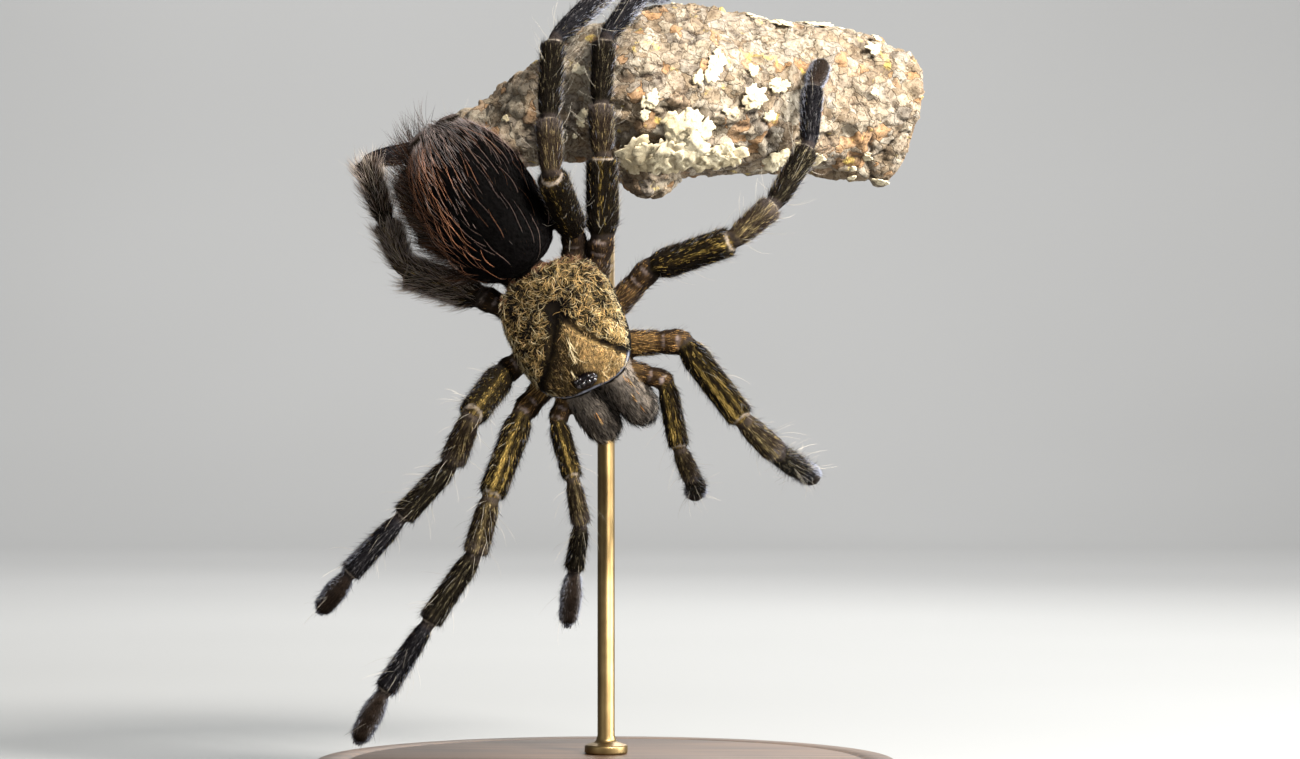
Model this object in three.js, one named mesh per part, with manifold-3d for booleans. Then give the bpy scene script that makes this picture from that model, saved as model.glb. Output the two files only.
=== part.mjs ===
// A life-size tarantula, head down under a cut length of branch that a rod and a round base hold up.
// Millimetres, +Z up, the spider's back faces -Y. The origin is the middle of the base's underside.
// Skin and coat are one form here: every outline is that of the hair tips.
import * as THREE from "three";
import { mergeVertices } from "three/addons/utils/BufferGeometryUtils.js";
import Module from "manifold-3d";

const wasm = await Module();
wasm.setup();

// ---------- driving dimensions ----------

const GAP = 0.4; // left between neighbouring pieces
const LIMB_SIDES = 8;

const BASE = { radius: 40, height: 5, bevel: 0.8, sides: 32 };
const ROD = { radius: 1.2, x: 0, y: 9, socket: 3, intoPerch: 6, sides: 12 };
const COLLAR = { radius: 3, height: 2.2, rim: 1.3 };

// A heading is a clock angle in the upright X-Z plane, from +X over +Z, and a lean out of it towards -Y.
// The trunk's own frame: X forward to the fangs, Y to the spider's left, Z to its back.
const TRUNK = { at: [-5.2, -8, 64.4], clock: -66, lean: 3, roll: 10 };
const CARAPACE = { length: 18.4, width: 16.6, height: 3.9, underside: 0.8 };
const CAPUT = { x: 4.6, halfLength: 5.6, halfWidth: 4.6, rise: 0.9 };
const FOVEA = { x: -2.6, radius: 1.7, depth: 0.8 };
const EYES = { x: 8.1, z: 3.2, length: 2.0, width: 3.5, height: 0.9 };
const STERNUM = { x: -0.3, length: 12.4, width: 8.6, top: -1.3, depth: 5.4, taper: 0.12 };
const CHELICERA = { root: [6.4, 2.8, -1.6], length: 10.6, girth: 2.7, deep: 1.15, droop: 20, yaw: 8 };
const FANG = { radius: 0.6, bend: 3.2, sweep: 100, back: 2.6, side: 0.3, below: 2.2 };

// The abdomen's own frame: X back to the spinnerets, Z to its back.
const ABDOMEN = { at: [-17, -10, 81.2], clock: 123, lean: 10, roll: 0, halfLength: 11.8, girth: 8.2 };
const PEDICEL = { from: [-7.6, 0, -1.4], radius: 1.5, into: 3 };
const SPINNERET = { root: [11.5, 0.8, 0.6], aim: [-0.1, 0.98, 0.15], length: 3.5, girth: 0.8 };

// Lengths of femur, patella, tibia, metatarsus and tarsus, by leg, and of the palp's four.
const LENGTHS = {
  palp: [9.6, 6.6, 6.8, 8.0],
  1: [13.6, 8.2, 11.2, 11.0, 8.2],
  2: [12.6, 7.6, 9.9, 10.4, 7.4],
  3: [11.0, 7.2, 9.0, 11.0, 7.2],
  4: [13.2, 7.8, 11.0, 13.2, 7.8],
};
// Widest radius of coxa, trochanter, femur, patella, tibia, metatarsus and tarsus.
const GIRTHS = {
  palp: [1.75, 1.6, 1.65, 1.5, 1.5, 1.7],
  1: [2.0, 1.95, 2.15, 1.9, 1.8, 1.7, 1.8],
  2: [2.0, 1.95, 2.3, 1.95, 1.8, 1.7, 1.75],
  3: [2.0, 1.95, 2.45, 1.95, 1.8, 1.7, 1.7],
  4: [2.0, 1.95, 2.4, 1.95, 1.85, 1.75, 1.7],
};
// Where each coxa leaves the trunk, on the spider's left.
const ROOTS = {
  palp: [6.4, 1.8, -3.2],
  1: [4.4, 3.2, -3.6],
  2: [1.3, 3.9, -3.8],
  3: [-1.9, 3.8, -3.8],
  4: [-5.0, 2.8, -3.6],
};
const COXA_SHARE = 0.66; // of the way from root to hip
// Each limb's hip, where trochanter meets femur, in the trunk's frame, and the headings of its segments.
const LIMBS = {
  palp_left: {
    hip: [12.3, 8.9, -2.7],
    headings: [[-79, 14], [-67, -49], [-64, -74], [-110, -83]],
  },
  palp_right: {
    hip: [11.2, -6.7, -0.9],
    headings: [[-74, 33], [-80, -17], [-99, -20], [-97, -11]],
  },
  leg_left_1: {
    hip: [8.5, 13.3, -2.4],
    headings: [[-53, 13], [-44, -38], [-34, -69], [-32, -81], [-32, -80]],
  },
  leg_left_2: {
    hip: [-2.3, 13.4, -1.5],
    headings: [[18, 24], [41, -16], [58, -21], [85, -34], [68, -55]],
  },
  leg_left_3: {
    hip: [-8.7, 9.1, -1.4],
    headings: [[90, 9], [92, -10], [87, -9], [55, -37], [4, -56]],
  },
  leg_left_4: {
    hip: [-11.0, 5.8, -1.2],
    headings: [[111, 54], [93, -14], [87, -13], [46, -36], [214, -62]],
  },
  leg_right_1: {
    hip: [8.2, -10.7, -1.7],
    headings: [[-110, 27], [-106, -11], [-124, 0], [-123, 0], [-118, -9]],
  },
  leg_right_2: {
    hip: [2.2, -10.8, -1.6],
    headings: [[-125, 56], [-113, -22], [-133, -1], [-133, 0], [-128, -22]],
  },
  leg_right_3: {
    hip: [-8.4, -9.6, -2.5],
    headings: [[161, 3], [112, 0], [109, -11], [12, -14], [66, -52]],
  },
  leg_right_4: {
    hip: [-11.3, -6.4, -6.9],
    headings: [[153, -20], [112, -25], [40, -62], [8, -5], [5, 15]],
  },
};

// The branch's middle line and radius, from its right cut end to its left.
const PERCH = [
  { at: [40.5, 19.5, 94.3], radius: 10.0 },
  { at: [35, 17.5, 95.3], radius: 10.3 },
  { at: [29.5, 15, 96.0], radius: 10.4 },
  { at: [22, 12, 96.2], radius: 10.9 },
  { at: [13, 8.5, 96.7], radius: 12.0 },
  { at: [4.7, 6.5, 96.4], radius: 12.4 },
  { at: [-1, 7, 96.6], radius: 9.9 },
  { at: [-7.8, 8, 94.1], radius: 7.2 },
  { at: [-14.3, 9.6, 91], radius: 6.0 },
  { at: [-19.8, 11.4, 88.7], radius: 5.2 },
];
const PERCH_RINGS = 17;
const PERCH_SIDES = 15;
const ROD_STATION = PERCH[6]; // the rod comes up under this one
// Shallow ridges round the branch: how many, how high for their radius, and how far they turn along it.
const RIDGES = [
  { count: 3, height: 0.035, turn: 9 },
  { count: 5, height: 0.02, turn: -14 },
];
const KNOB = { at: [6.2, 4.5, 86.2], radius: 4.6 };

// ---------- materials ----------

const coat = (color) => new THREE.MeshStandardMaterial({ color, roughness: 0.85, metalness: 0 });
const MATERIALS = {
  carapace: coat(0x6e5526),
  abdomen: coat(0x1b120f),
  limb: coat(0x33261d),
  foot: coat(0x29242a),
  chelicera: coat(0x4a4144),
  underside: coat(0x2c1f1a),
  horn: new THREE.MeshStandardMaterial({ color: 0x0d0a0b, roughness: 0.15, metalness: 0 }),
  bark: new THREE.MeshStandardMaterial({ color: 0xb3a48a, roughness: 0.95, metalness: 0 }),
  base: new THREE.MeshStandardMaterial({ color: 0x2b1d14, roughness: 0.4, metalness: 0 }),
  brass: new THREE.MeshStandardMaterial({ color: 0xa98848, roughness: 0.3, metalness: 1 }),
};

// ---------- frames ----------

const radians = THREE.MathUtils.degToRad;

function heading([clock, lean]) {
  const c = radians(clock);
  const l = radians(lean);
  return new THREE.Vector3(Math.cos(l) * Math.cos(c), -Math.sin(l), Math.cos(l) * Math.sin(c));
}

// A frame with X along the heading and Z as near to -Y as it can be, then rolled about X.
function frameAt({ at, clock, lean, roll }) {
  const x = heading([clock, lean]);
  const y = new THREE.Vector3(0, -1, 0).cross(x).normalize().applyAxisAngle(x, radians(roll));
  const z = x.clone().cross(y);
  return new THREE.Matrix4().makeBasis(x, y, z).setPosition(...at);
}

const trunkFrame = frameAt(TRUNK);
const abdomenFrame = frameAt(ABDOMEN);
const inTrunk = (point) => new THREE.Vector3(...point).applyMatrix4(trunkFrame);
const onSide = ([x, y, z], side) => [x, side * y, z];

// ---------- solids ----------

function solidOf(geometry) {
  const bare = geometry.clone();
  bare.deleteAttribute("normal");
  bare.deleteAttribute("uv");
  const merged = mergeVertices(bare, 1e-4);
  const vertProperties = merged.attributes.position.array;
  return new wasm.Manifold(new wasm.Mesh({ numProp: 3, vertProperties, triVerts: merged.index.array }));
}

function geometryOf(solid) {
  const mesh = solid.getMesh();
  const geometry = new THREE.BufferGeometry();
  geometry.setAttribute("position", new THREE.BufferAttribute(mesh.vertProperties, 3));
  geometry.setIndex(new THREE.BufferAttribute(mesh.triVerts, 1));
  const flat = geometry.toNonIndexed();
  flat.computeVertexNormals();
  return flat;
}

// Moves every vertex of a geometry by a function of its place.
function reshaped(geometry, move) {
  const position = geometry.attributes.position;
  const p = new THREE.Vector3();
  for (let i = 0; i < position.count; i++) {
    move(p.fromBufferAttribute(position, i));
    position.setXYZ(i, p.x, p.y, p.z);
  }
  return geometry;
}

// A turned form from one point to another. Its profile lists shares of the length and of the girth.
function turned(from, to, girth, profile, { sides = LIMB_SIDES, grow = 0, deep = 1 } = {}) {
  const axis = to.clone().sub(from);
  const length = axis.length();
  const points = profile.map(([along, across], i) => {
    const reach = i < 2 ? -grow : i > profile.length - 3 ? grow : 0;
    return new THREE.Vector2(across === 0 ? 0 : across * girth + grow, along * length + reach);
  });
  const aim = new THREE.Quaternion().setFromUnitVectors(new THREE.Vector3(0, 1, 0), axis.normalize());
  const geometry = new THREE.LatheGeometry(points, sides).scale(1, 1, deep).applyQuaternion(aim);
  return solidOf(geometry.translate(from.x, from.y, from.z));
}

const union = (solids) => solids.reduce((whole, next) => whole.add(next));
const without = (solid, cutters) => cutters.reduce((left, cutter) => left.subtract(cutter), solid);
const bigger = (a, b) => (b.volume() > a.volume() ? b : a);
const largest = (solid) => solid.decompose().reduce(bigger);

// ---------- limbs ----------

// Segments begin narrow, inside the last one's rim, and widen to a rim of their own.
const PROFILES = {
  coxa: [[-0.1, 0], [0, 0.75], [0.5, 1], [1, 0.95], [1.15, 0]],
  trochanter: [[-0.3, 0], [0, 0.85], [0.7, 1], [1.15, 0.8], [1.4, 0]],
  femur: [[-0.06, 0], [0, 0.74], [0.2, 0.96], [0.96, 0.94], [1.07, 0]],
  patella: [[-0.1, 0], [0, 0.76], [0.3, 0.9], [0.94, 1], [1.08, 0]],
  tibia: [[-0.06, 0], [0, 0.76], [0.2, 0.92], [0.96, 1], [1.06, 0]],
  metatarsus: [[-0.06, 0], [0, 0.68], [0.3, 0.9], [0.97, 1], [1.06, 0]],
  tarsus: [[-0.08, 0], [0, 0.66], [0.4, 1], [0.84, 0.9], [0.98, 0.42], [1, 0]],
};
const TRUNK_SIDE = ["coxa", "trochanter"];
const FEET = { leg: ["metatarsus", "tarsus"], palp: ["tarsus"] };

const kindOf = (name) => (name.startsWith("palp") ? "palp" : name.slice(-1));
const feetOf = (name) => FEET[name.startsWith("palp") ? "palp" : "leg"];
const partsOf = (name) => [...TRUNK_SIDE, "femur", "patella", "tibia", ...feetOf(name)];

// The limb's joints: its root, the coxa's end, the hip, then the end of every segment.
function jointsOf(name) {
  const kind = kindOf(name);
  const side = name.includes("left") ? 1 : -1;
  const root = inTrunk(onSide(ROOTS[kind], side));
  const hip = inTrunk(LIMBS[name].hip);
  const joints = [root, root.clone().lerp(hip, COXA_SHARE), hip];
  LIMBS[name].headings.forEach((bearing, i) => {
    joints.push(joints.at(-1).clone().addScaledVector(heading(bearing), LENGTHS[kind][i]));
  });
  return joints;
}

function segment(name, part, grow = 0) {
  const index = partsOf(name).indexOf(part);
  const joints = jointsOf(name);
  return turned(joints[index], joints[index + 1], GIRTHS[kindOf(name)][index], PROFILES[part], { grow });
}

const segments = (name, parts, grow = 0) => union(parts.map((part) => segment(name, part, grow)));

// ---------- trunk ----------

// The left half of the carapace's outline in shares of its length and width, from front to rear.
const CARAPACE_OUTLINE = new THREE.SplineCurve(
  [
    [0.535, 0],
    [0.53, 0.16],
    [0.5, 0.285],
    [0.42, 0.395],
    [0.26, 0.475],
    [0.02, 0.5],
    [-0.22, 0.485],
    [-0.39, 0.38],
    [-0.47, 0.22],
    [-0.485, 0.08],
    [-0.475, 0],
  ].map(([along, across]) => new THREE.Vector2(along, across)),
);

// The point of a half outline that lies in a direction, found by halving.
function outlinePoint(curve, angle) {
  let low = 0;
  let high = 1;
  for (let i = 0; i < 24; i++) {
    const middle = (low + high) / 2;
    const p = curve.getPoint(middle);
    if (Math.atan2(p.y, p.x) < Math.abs(angle)) low = middle;
    else high = middle;
  }
  return curve.getPoint(low);
}

function carapace(grow = 0) {
  const geometry = new THREE.SphereGeometry(1, 26, 9).rotateX(Math.PI / 2);
  const spreading = 1 + (2 * grow) / CARAPACE.width;
  reshaped(geometry, (p) => {
    const spread = Math.hypot(p.x, p.y) * spreading;
    const edge = outlinePoint(CARAPACE_OUTLINE, Math.atan2(p.y, p.x));
    const x = edge.x * CARAPACE.length * spread;
    const y = Math.sign(p.y) * edge.y * CARAPACE.width * spread;
    const caput = Math.exp(-(((x - CAPUT.x) / CAPUT.halfLength) ** 2) - (y / CAPUT.halfWidth) ** 2);
    const pit = Math.exp(-((x - FOVEA.x) ** 2 + y ** 2) / FOVEA.radius ** 2);
    const above = CARAPACE.height + CAPUT.rise * caput - FOVEA.depth * pit;
    const z = p.z > 0 ? Math.sqrt(p.z) * above : p.z * CARAPACE.underside;
    p.set(x, y, z + Math.sign(p.z) * grow);
  });
  return solidOf(geometry).transform(trunkFrame.elements);
}

const EYE_PAIRS = [
  { x: 0.35, y: 0.4, radius: 0.36 },
  { x: 0.45, y: 1.15, radius: 0.36 },
  { x: -0.35, y: 0.62, radius: 0.26 },
  { x: -0.25, y: 1.25, radius: 0.32 },
];

// A mound with four pairs of eyes in two rows.
function eyes() {
  const mound = new THREE.SphereGeometry(1, 10, 6).scale(EYES.length / 2, EYES.width / 2, EYES.height);
  const balls = EYE_PAIRS.flatMap(({ x, y, radius }) => {
    const level = EYES.height * Math.sqrt(1 - (2 * x / EYES.length) ** 2 - (2 * y / EYES.width) ** 2);
    const ball = new THREE.SphereGeometry(radius, 6, 4).translate(x, 0, level);
    return [solidOf(ball).translate(0, y, 0), solidOf(ball).translate(0, -y, 0)];
  });
  return union([solidOf(mound), ...balls]).translate(EYES.x, 0, EYES.z).transform(trunkFrame.elements);
}

function sternum(grow = 0) {
  const geometry = new THREE.SphereGeometry(0.5, 16, 8).rotateX(Math.PI / 2);
  reshaped(geometry, (p) => {
    const width = STERNUM.width * (1 + STERNUM.taper * Math.sin(p.x * Math.PI));
    const middle = STERNUM.top - STERNUM.depth / 2;
    p.x = STERNUM.x + p.x * (STERNUM.length + 2 * grow);
    p.y *= width + 2 * grow;
    p.z = middle + p.z * (STERNUM.depth + 2 * grow);
  });
  return solidOf(geometry).transform(trunkFrame.elements);
}

const CHELICERA_PROFILE = [
  [-0.02, 0],
  [0.02, 0.8],
  [0.2, 0.96],
  [0.5, 1],
  [0.78, 0.95],
  [0.92, 0.72],
  [0.98, 0.4],
  [1, 0],
];

function cheliceraAxis(side) {
  const yaw = radians(CHELICERA.yaw);
  const droop = radians(CHELICERA.droop);
  const along = new THREE.Vector3(Math.cos(yaw), Math.sin(yaw), -Math.tan(droop)).normalize();
  const root = new THREE.Vector3(...onSide(CHELICERA.root, side));
  return { root, along, tip: root.clone().addScaledVector(along, CHELICERA.length) };
}

function chelicera(side, grow = 0) {
  const { root, tip } = cheliceraAxis(side);
  const style = { sides: 12, grow, deep: CHELICERA.deep };
  return turned(root, tip, CHELICERA.girth, CHELICERA_PROFILE, style).transform(trunkFrame.elements);
}

// A cone bent round an arc, folded back below its chelicera.
function fang(side) {
  const geometry = new THREE.CylinderGeometry(0.15, 1, 1, 6, 5).translate(0, 0.5, 0);
  reshaped(geometry, (p) => {
    const turn = radians(FANG.sweep) * p.y;
    const reach = FANG.bend - p.x * FANG.radius;
    p.set(FANG.bend / 2 - reach * Math.sin(turn), p.z * FANG.radius, reach * Math.cos(turn) - FANG.bend);
  });
  const { along, tip } = cheliceraAxis(side);
  const start = tip.clone().addScaledVector(along, -FANG.back);
  geometry.translate(start.x, start.y + side * FANG.side, start.z - FANG.below);
  return solidOf(geometry).transform(trunkFrame.elements);
}

// ---------- abdomen ----------

const ABDOMEN_PROFILE = [
  [0, 0],
  [0.01, 0.34],
  [0.07, 0.7],
  [0.2, 0.93],
  [0.4, 1],
  [0.62, 0.98],
  [0.8, 0.83],
  [0.92, 0.58],
  [0.985, 0.28],
  [1, 0],
];

const STALK_PROFILE = [
  [0, 0],
  [0, 1],
  [1, 1],
  [1, 0],
];
const SPINNERET_PROFILE = [
  [-0.1, 0],
  [0, 0.8],
  [0.3, 1],
  [0.6, 0.9],
  [0.9, 0.6],
  [1, 0],
];

function abdomen(grow = 0) {
  const half = ABDOMEN.halfLength;
  const ends = [-half, half].map((x) => new THREE.Vector3(x, 0, 0).applyMatrix4(abdomenFrame));
  const sac = turned(...ends, ABDOMEN.girth, ABDOMEN_PROFILE, { sides: 20, grow });
  const waist = inTrunk(PEDICEL.from);
  const inside = ends[0].clone().lerp(ends[1], PEDICEL.into / half / 2);
  return sac.add(turned(waist, inside, PEDICEL.radius, STALK_PROFILE, { grow }));
}

// The long rear spinnerets reach out to either side of the abdomen's end.
function spinneret(side, grow = 0) {
  const from = new THREE.Vector3(...onSide(SPINNERET.root, side));
  const aim = new THREE.Vector3(...onSide(SPINNERET.aim, side)).normalize();
  const to = from.clone().addScaledVector(aim, SPINNERET.length);
  return turned(from, to, SPINNERET.girth, SPINNERET_PROFILE, { grow }).transform(abdomenFrame.elements);
}

// ---------- perch and stand ----------

function ridgeAt(angle, t) {
  return RIDGES.reduce((r, { count, height, turn }) => r + height * Math.sin(count * angle + turn * t), 1);
}

// A branch swept along its middle line, with its ridges.
function perch() {
  const line = new THREE.CatmullRomCurve3(PERCH.map(({ at }) => new THREE.Vector3(...at)));
  const geometry = new THREE.CylinderGeometry(1, 1, 1, PERCH_SIDES, PERCH_RINGS).translate(0, 0.5, 0);
  reshaped(geometry, (p) => {
    const t = THREE.MathUtils.clamp(p.y, 0, 1);
    const angle = Math.atan2(p.z, p.x);
    const step = t * (PERCH.length - 1);
    const before = Math.min(Math.floor(step), PERCH.length - 2);
    const radius = THREE.MathUtils.lerp(PERCH[before].radius, PERCH[before + 1].radius, step - before);
    const spread = Math.hypot(p.x, p.z) * radius * ridgeAt(angle, t);
    const along = line.getTangent(t);
    const up = new THREE.Vector3(0, 0, 1).addScaledVector(along, -along.z).normalize();
    const out = along.clone().cross(up);
    p.copy(line.getPoint(t));
    p.addScaledVector(out, spread * Math.cos(angle)).addScaledVector(up, spread * Math.sin(angle));
  });
  const knob = new THREE.SphereGeometry(KNOB.radius, 9, 6).translate(...KNOB.at);
  return solidOf(geometry).add(solidOf(knob));
}

// A solid of revolution about +Z from a half profile of radius and height.
function round(profile, sides) {
  const points = profile.map(([radius, height]) => new THREE.Vector2(radius, height));
  return new THREE.LatheGeometry(points, sides).rotateX(Math.PI / 2);
}

const perchUnderside = ROD_STATION.at[2] - ROD_STATION.radius;
const rodTop = perchUnderside + ROD.intoPerch;
const collarFoot = BASE.height + GAP;

function rod(grow = 0) {
  const collar = COLLAR.radius + grow;
  const radius = ROD.radius + grow;
  const foot = BASE.height - ROD.socket - grow;
  const profile = [
    [0, foot],
    [radius, foot],
    [radius, collarFoot],
    [collar, collarFoot],
    [collar, collarFoot + COLLAR.rim],
    [radius, collarFoot + COLLAR.height],
    [radius, rodTop + grow],
    [0, rodTop + grow],
  ];
  return solidOf(round(profile, ROD.sides)).translate(ROD.x, ROD.y, 0);
}

function base() {
  const edge = BASE.radius - BASE.bevel;
  const profile = [
    [0, 0],
    [edge, 0],
    [BASE.radius, BASE.bevel],
    [BASE.radius, BASE.height - BASE.bevel],
    [edge, BASE.height],
    [0, BASE.height],
  ];
  return solidOf(round(profile, BASE.sides));
}

// ---------- the model ----------

const model = new THREE.Group();

function addNode(name, solid, material) {
  const mesh = new THREE.Mesh(geometryOf(largest(solid)), MATERIALS[material].clone());
  mesh.name = name;
  model.add(mesh);
}

const SIDES = { left: 1, right: -1 };
const grownCarapace = carapace(GAP);
const grownSternum = sternum(GAP);
const grownChelicerae = Object.values(SIDES).map((side) => chelicera(side, GAP));

addNode("carapace", carapace(), "carapace");
addNode("eyes", without(eyes(), [grownCarapace]), "horn");
addNode("sternum", without(sternum(), [grownCarapace, ...grownChelicerae]), "underside");

for (const [label, side] of Object.entries(SIDES)) {
  const otherFirst = side === SIDES.left ? [chelicera(SIDES.right, GAP)] : [];
  addNode(`chelicera_${label}`, without(chelicera(side), [grownCarapace, ...otherFirst]), "chelicera");
  addNode(`fang_${label}`, without(fang(side), grownChelicerae), "horn");
  addNode(`spinneret_${label}`, without(spinneret(side), [abdomen(GAP)]), "abdomen");

  // Front to back, each coxa gives way to the one before it.
  let before = grownChelicerae;
  for (const kind of [`palp_${label}`, ...[1, 2, 3, 4].map((pair) => `leg_${label}_${pair}`)]) {
    const hipSide = segments(kind, [...TRUNK_SIDE, "femur"]);
    const middle = segments(kind, ["patella", "tibia"]);
    const foot = segments(kind, feetOf(kind));
    const cutters = [grownCarapace, grownSternum, ...before];
    addNode(`${kind}_femur`, without(hipSide, cutters), "limb");
    addNode(`${kind}_tibia`, without(middle, [segment(kind, "femur", GAP)]), "limb");
    addNode(`${kind}_tarsus`, without(foot, [segment(kind, "tibia", GAP)]), "foot");
    before = [...before, segments(kind, TRUNK_SIDE, GAP)];
  }
}

const hindLegs = ["leg_left_4", "leg_right_4"];
const grownThighs = hindLegs.map((name) => segments(name, [...TRUNK_SIDE, "femur"], GAP));
addNode("abdomen", without(abdomen(), [grownCarapace, grownSternum, ...grownThighs]), "abdomen");
addNode("perch", without(perch(), [rod(GAP)]), "bark");
addNode("stand_base", without(base(), [rod(GAP)]), "base");
addNode("stand_rod", rod(), "brass");

export default model;
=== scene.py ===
"""A life-size tarantula, head down under a cut branch on a stand: skin, coat, eyes, claws, bark and stand.

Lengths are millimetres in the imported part's own frame, and place() turns them into metres as it makes a mesh.
The spider's pose is given by its joints, as in the part: hips, then a heading for each segment of a limb.
"""

import itertools
import math

import bmesh
import bpy
import numpy as np
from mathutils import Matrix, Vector


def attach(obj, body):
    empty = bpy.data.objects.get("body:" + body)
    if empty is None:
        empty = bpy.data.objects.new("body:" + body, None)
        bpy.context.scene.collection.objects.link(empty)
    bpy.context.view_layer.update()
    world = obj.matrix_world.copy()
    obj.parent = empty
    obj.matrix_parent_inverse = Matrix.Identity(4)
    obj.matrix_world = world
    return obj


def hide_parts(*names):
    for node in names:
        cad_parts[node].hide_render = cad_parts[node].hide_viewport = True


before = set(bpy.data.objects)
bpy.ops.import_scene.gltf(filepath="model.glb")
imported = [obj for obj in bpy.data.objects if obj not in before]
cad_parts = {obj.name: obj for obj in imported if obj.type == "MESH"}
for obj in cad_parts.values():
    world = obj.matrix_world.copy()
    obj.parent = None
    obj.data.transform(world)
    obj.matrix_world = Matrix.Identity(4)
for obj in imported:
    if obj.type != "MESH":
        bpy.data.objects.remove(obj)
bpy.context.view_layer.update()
MM = 0.001
SEED = 7

# ---------- sizes, as in the part ----------

BASE = {"radius": 40.0, "height": 5.0, "bevel": 0.8}
ROD = {"radius": 1.2, "x": 0.0, "y": 9.0, "into_perch": 6.0}
COLLAR = {"radius": 3.0, "height": 2.2}

TRUNK = {"at": (-5.2, -8, 64.4), "clock": -66, "lean": 3, "roll": 10}
CARAPACE = {"length": 18.4, "width": 16.6, "height": 3.9, "underside": 0.8}
CAPUT = {"x": 4.6, "half_length": 5.6, "half_width": 4.6, "rise": 0.9}
FOVEA = {"x": -2.6, "radius": 1.7, "depth": 0.8}
# The long grooves beside the head: degrees from straight ahead, and widths on the spider's right and left. The
# right one is wider so that its dark coat also covers the shadow in it: painted shade.
GROOVE = {"bearing": 34, "length": 10.5, "bow": 0.8, "widths": (0.56, 0.48), "depth": 0.42}
STRIAE = {"bearings": (68, 98, 130), "width": 0.12, "from": (1.5, 3.5), "to": (6, 8.5), "depth": 0.22}
EYES = {"x": 8.1, "z": 3.2, "length": 2.0, "width": 3.5, "height": 0.9}
STERNUM = {"x": -0.3, "length": 12.4, "width": 8.6, "top": -1.3, "depth": 5.4, "taper": 0.12}
CHELICERA = {"root": (6.4, 2.8, -1.6), "length": 10.6, "girth": 2.7, "deep": 1.15, "droop": 20, "yaw": 8}
FANG = {"radius": 0.6, "bend": 3.2, "sweep": 100, "back": 2.6, "side": 0.3, "below": 2.2}
ABDOMEN = {"at": (-17, -10, 81.2), "clock": 123, "lean": 10, "roll": 0, "half_length": 11.8, "girth": 8.2}
PEDICEL = {"from": (-7.6, 0, -1.4), "into_abdomen": 0.13, "radius": 1.5}
SPINNERET = {"root": (11.5, 0.8, 0.6), "aim": (-0.1, 0.98, 0.15), "length": 3.5, "girth": 0.8}

# Lengths of femur, patella, tibia, metatarsus and tarsus, by leg, and of the palp's four.
LENGTHS = {
    "palp": (9.6, 6.6, 6.8, 8.0),
    "1": (13.6, 8.2, 11.2, 11.0, 8.2),
    "2": (12.6, 7.6, 9.9, 10.4, 7.4),
    "3": (11.0, 7.2, 9.0, 11.0, 7.2),
    "4": (13.2, 7.8, 11.0, 13.2, 7.8),
}
# Widest radius of coxa, trochanter, femur, patella, tibia, metatarsus and tarsus, coat and all.
GIRTHS = {
    "palp": (1.75, 1.6, 1.65, 1.5, 1.5, 1.7),
    "1": (2.0, 1.95, 2.15, 1.9, 1.8, 1.7, 1.8),
    "2": (2.0, 1.95, 2.3, 1.95, 1.8, 1.7, 1.75),
    "3": (2.0, 1.95, 2.45, 1.95, 1.8, 1.7, 1.7),
    "4": (2.0, 1.95, 2.4, 1.95, 1.85, 1.75, 1.7),
}
ROOTS = {
    "palp": (6.4, 1.8, -3.2),
    "1": (4.4, 3.2, -3.6),
    "2": (1.3, 3.9, -3.8),
    "3": (-1.9, 3.8, -3.8),
    "4": (-5.0, 2.8, -3.6),
}
COXA_SHARE = 0.66
# Each limb's hip in the trunk's frame, then the clock and lean of each of its segments.
LIMBS = {
    "palp_left": ((12.3, 8.9, -2.7), ((-79, 14), (-67, -49), (-64, -74), (-110, -83))),
    "palp_right": ((11.2, -6.7, -0.9), ((-74, 33), (-80, -17), (-99, -20), (-97, -11))),
    "leg_left_1": ((8.5, 13.3, -2.4), ((-53, 13), (-44, -38), (-34, -69), (-32, -81), (-32, -80))),
    "leg_left_2": ((-2.3, 13.4, -1.5), ((18, 24), (41, -16), (58, -21), (85, -34), (68, -55))),
    "leg_left_3": ((-8.7, 9.1, -1.4), ((90, 9), (92, -10), (87, -9), (55, -37), (4, -56))),
    "leg_left_4": ((-11.0, 5.8, -1.2), ((111, 54), (93, -14), (87, -13), (46, -36), (214, -62))),
    "leg_right_1": ((8.2, -10.7, -1.7), ((-110, 27), (-106, -11), (-124, 0), (-123, 0), (-118, -9))),
    "leg_right_2": ((2.2, -10.8, -1.6), ((-125, 56), (-113, -22), (-133, -1), (-133, 0), (-128, -22))),
    "leg_right_3": ((-8.4, -9.6, -2.5), ((161, 3), (112, 0), (109, -11), (12, -14), (66, -52))),
    "leg_right_4": ((-11.3, -6.4, -6.9), ((153, -20), (112, -25), (40, -62), (8, -5), (5, 15))),
}
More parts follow.
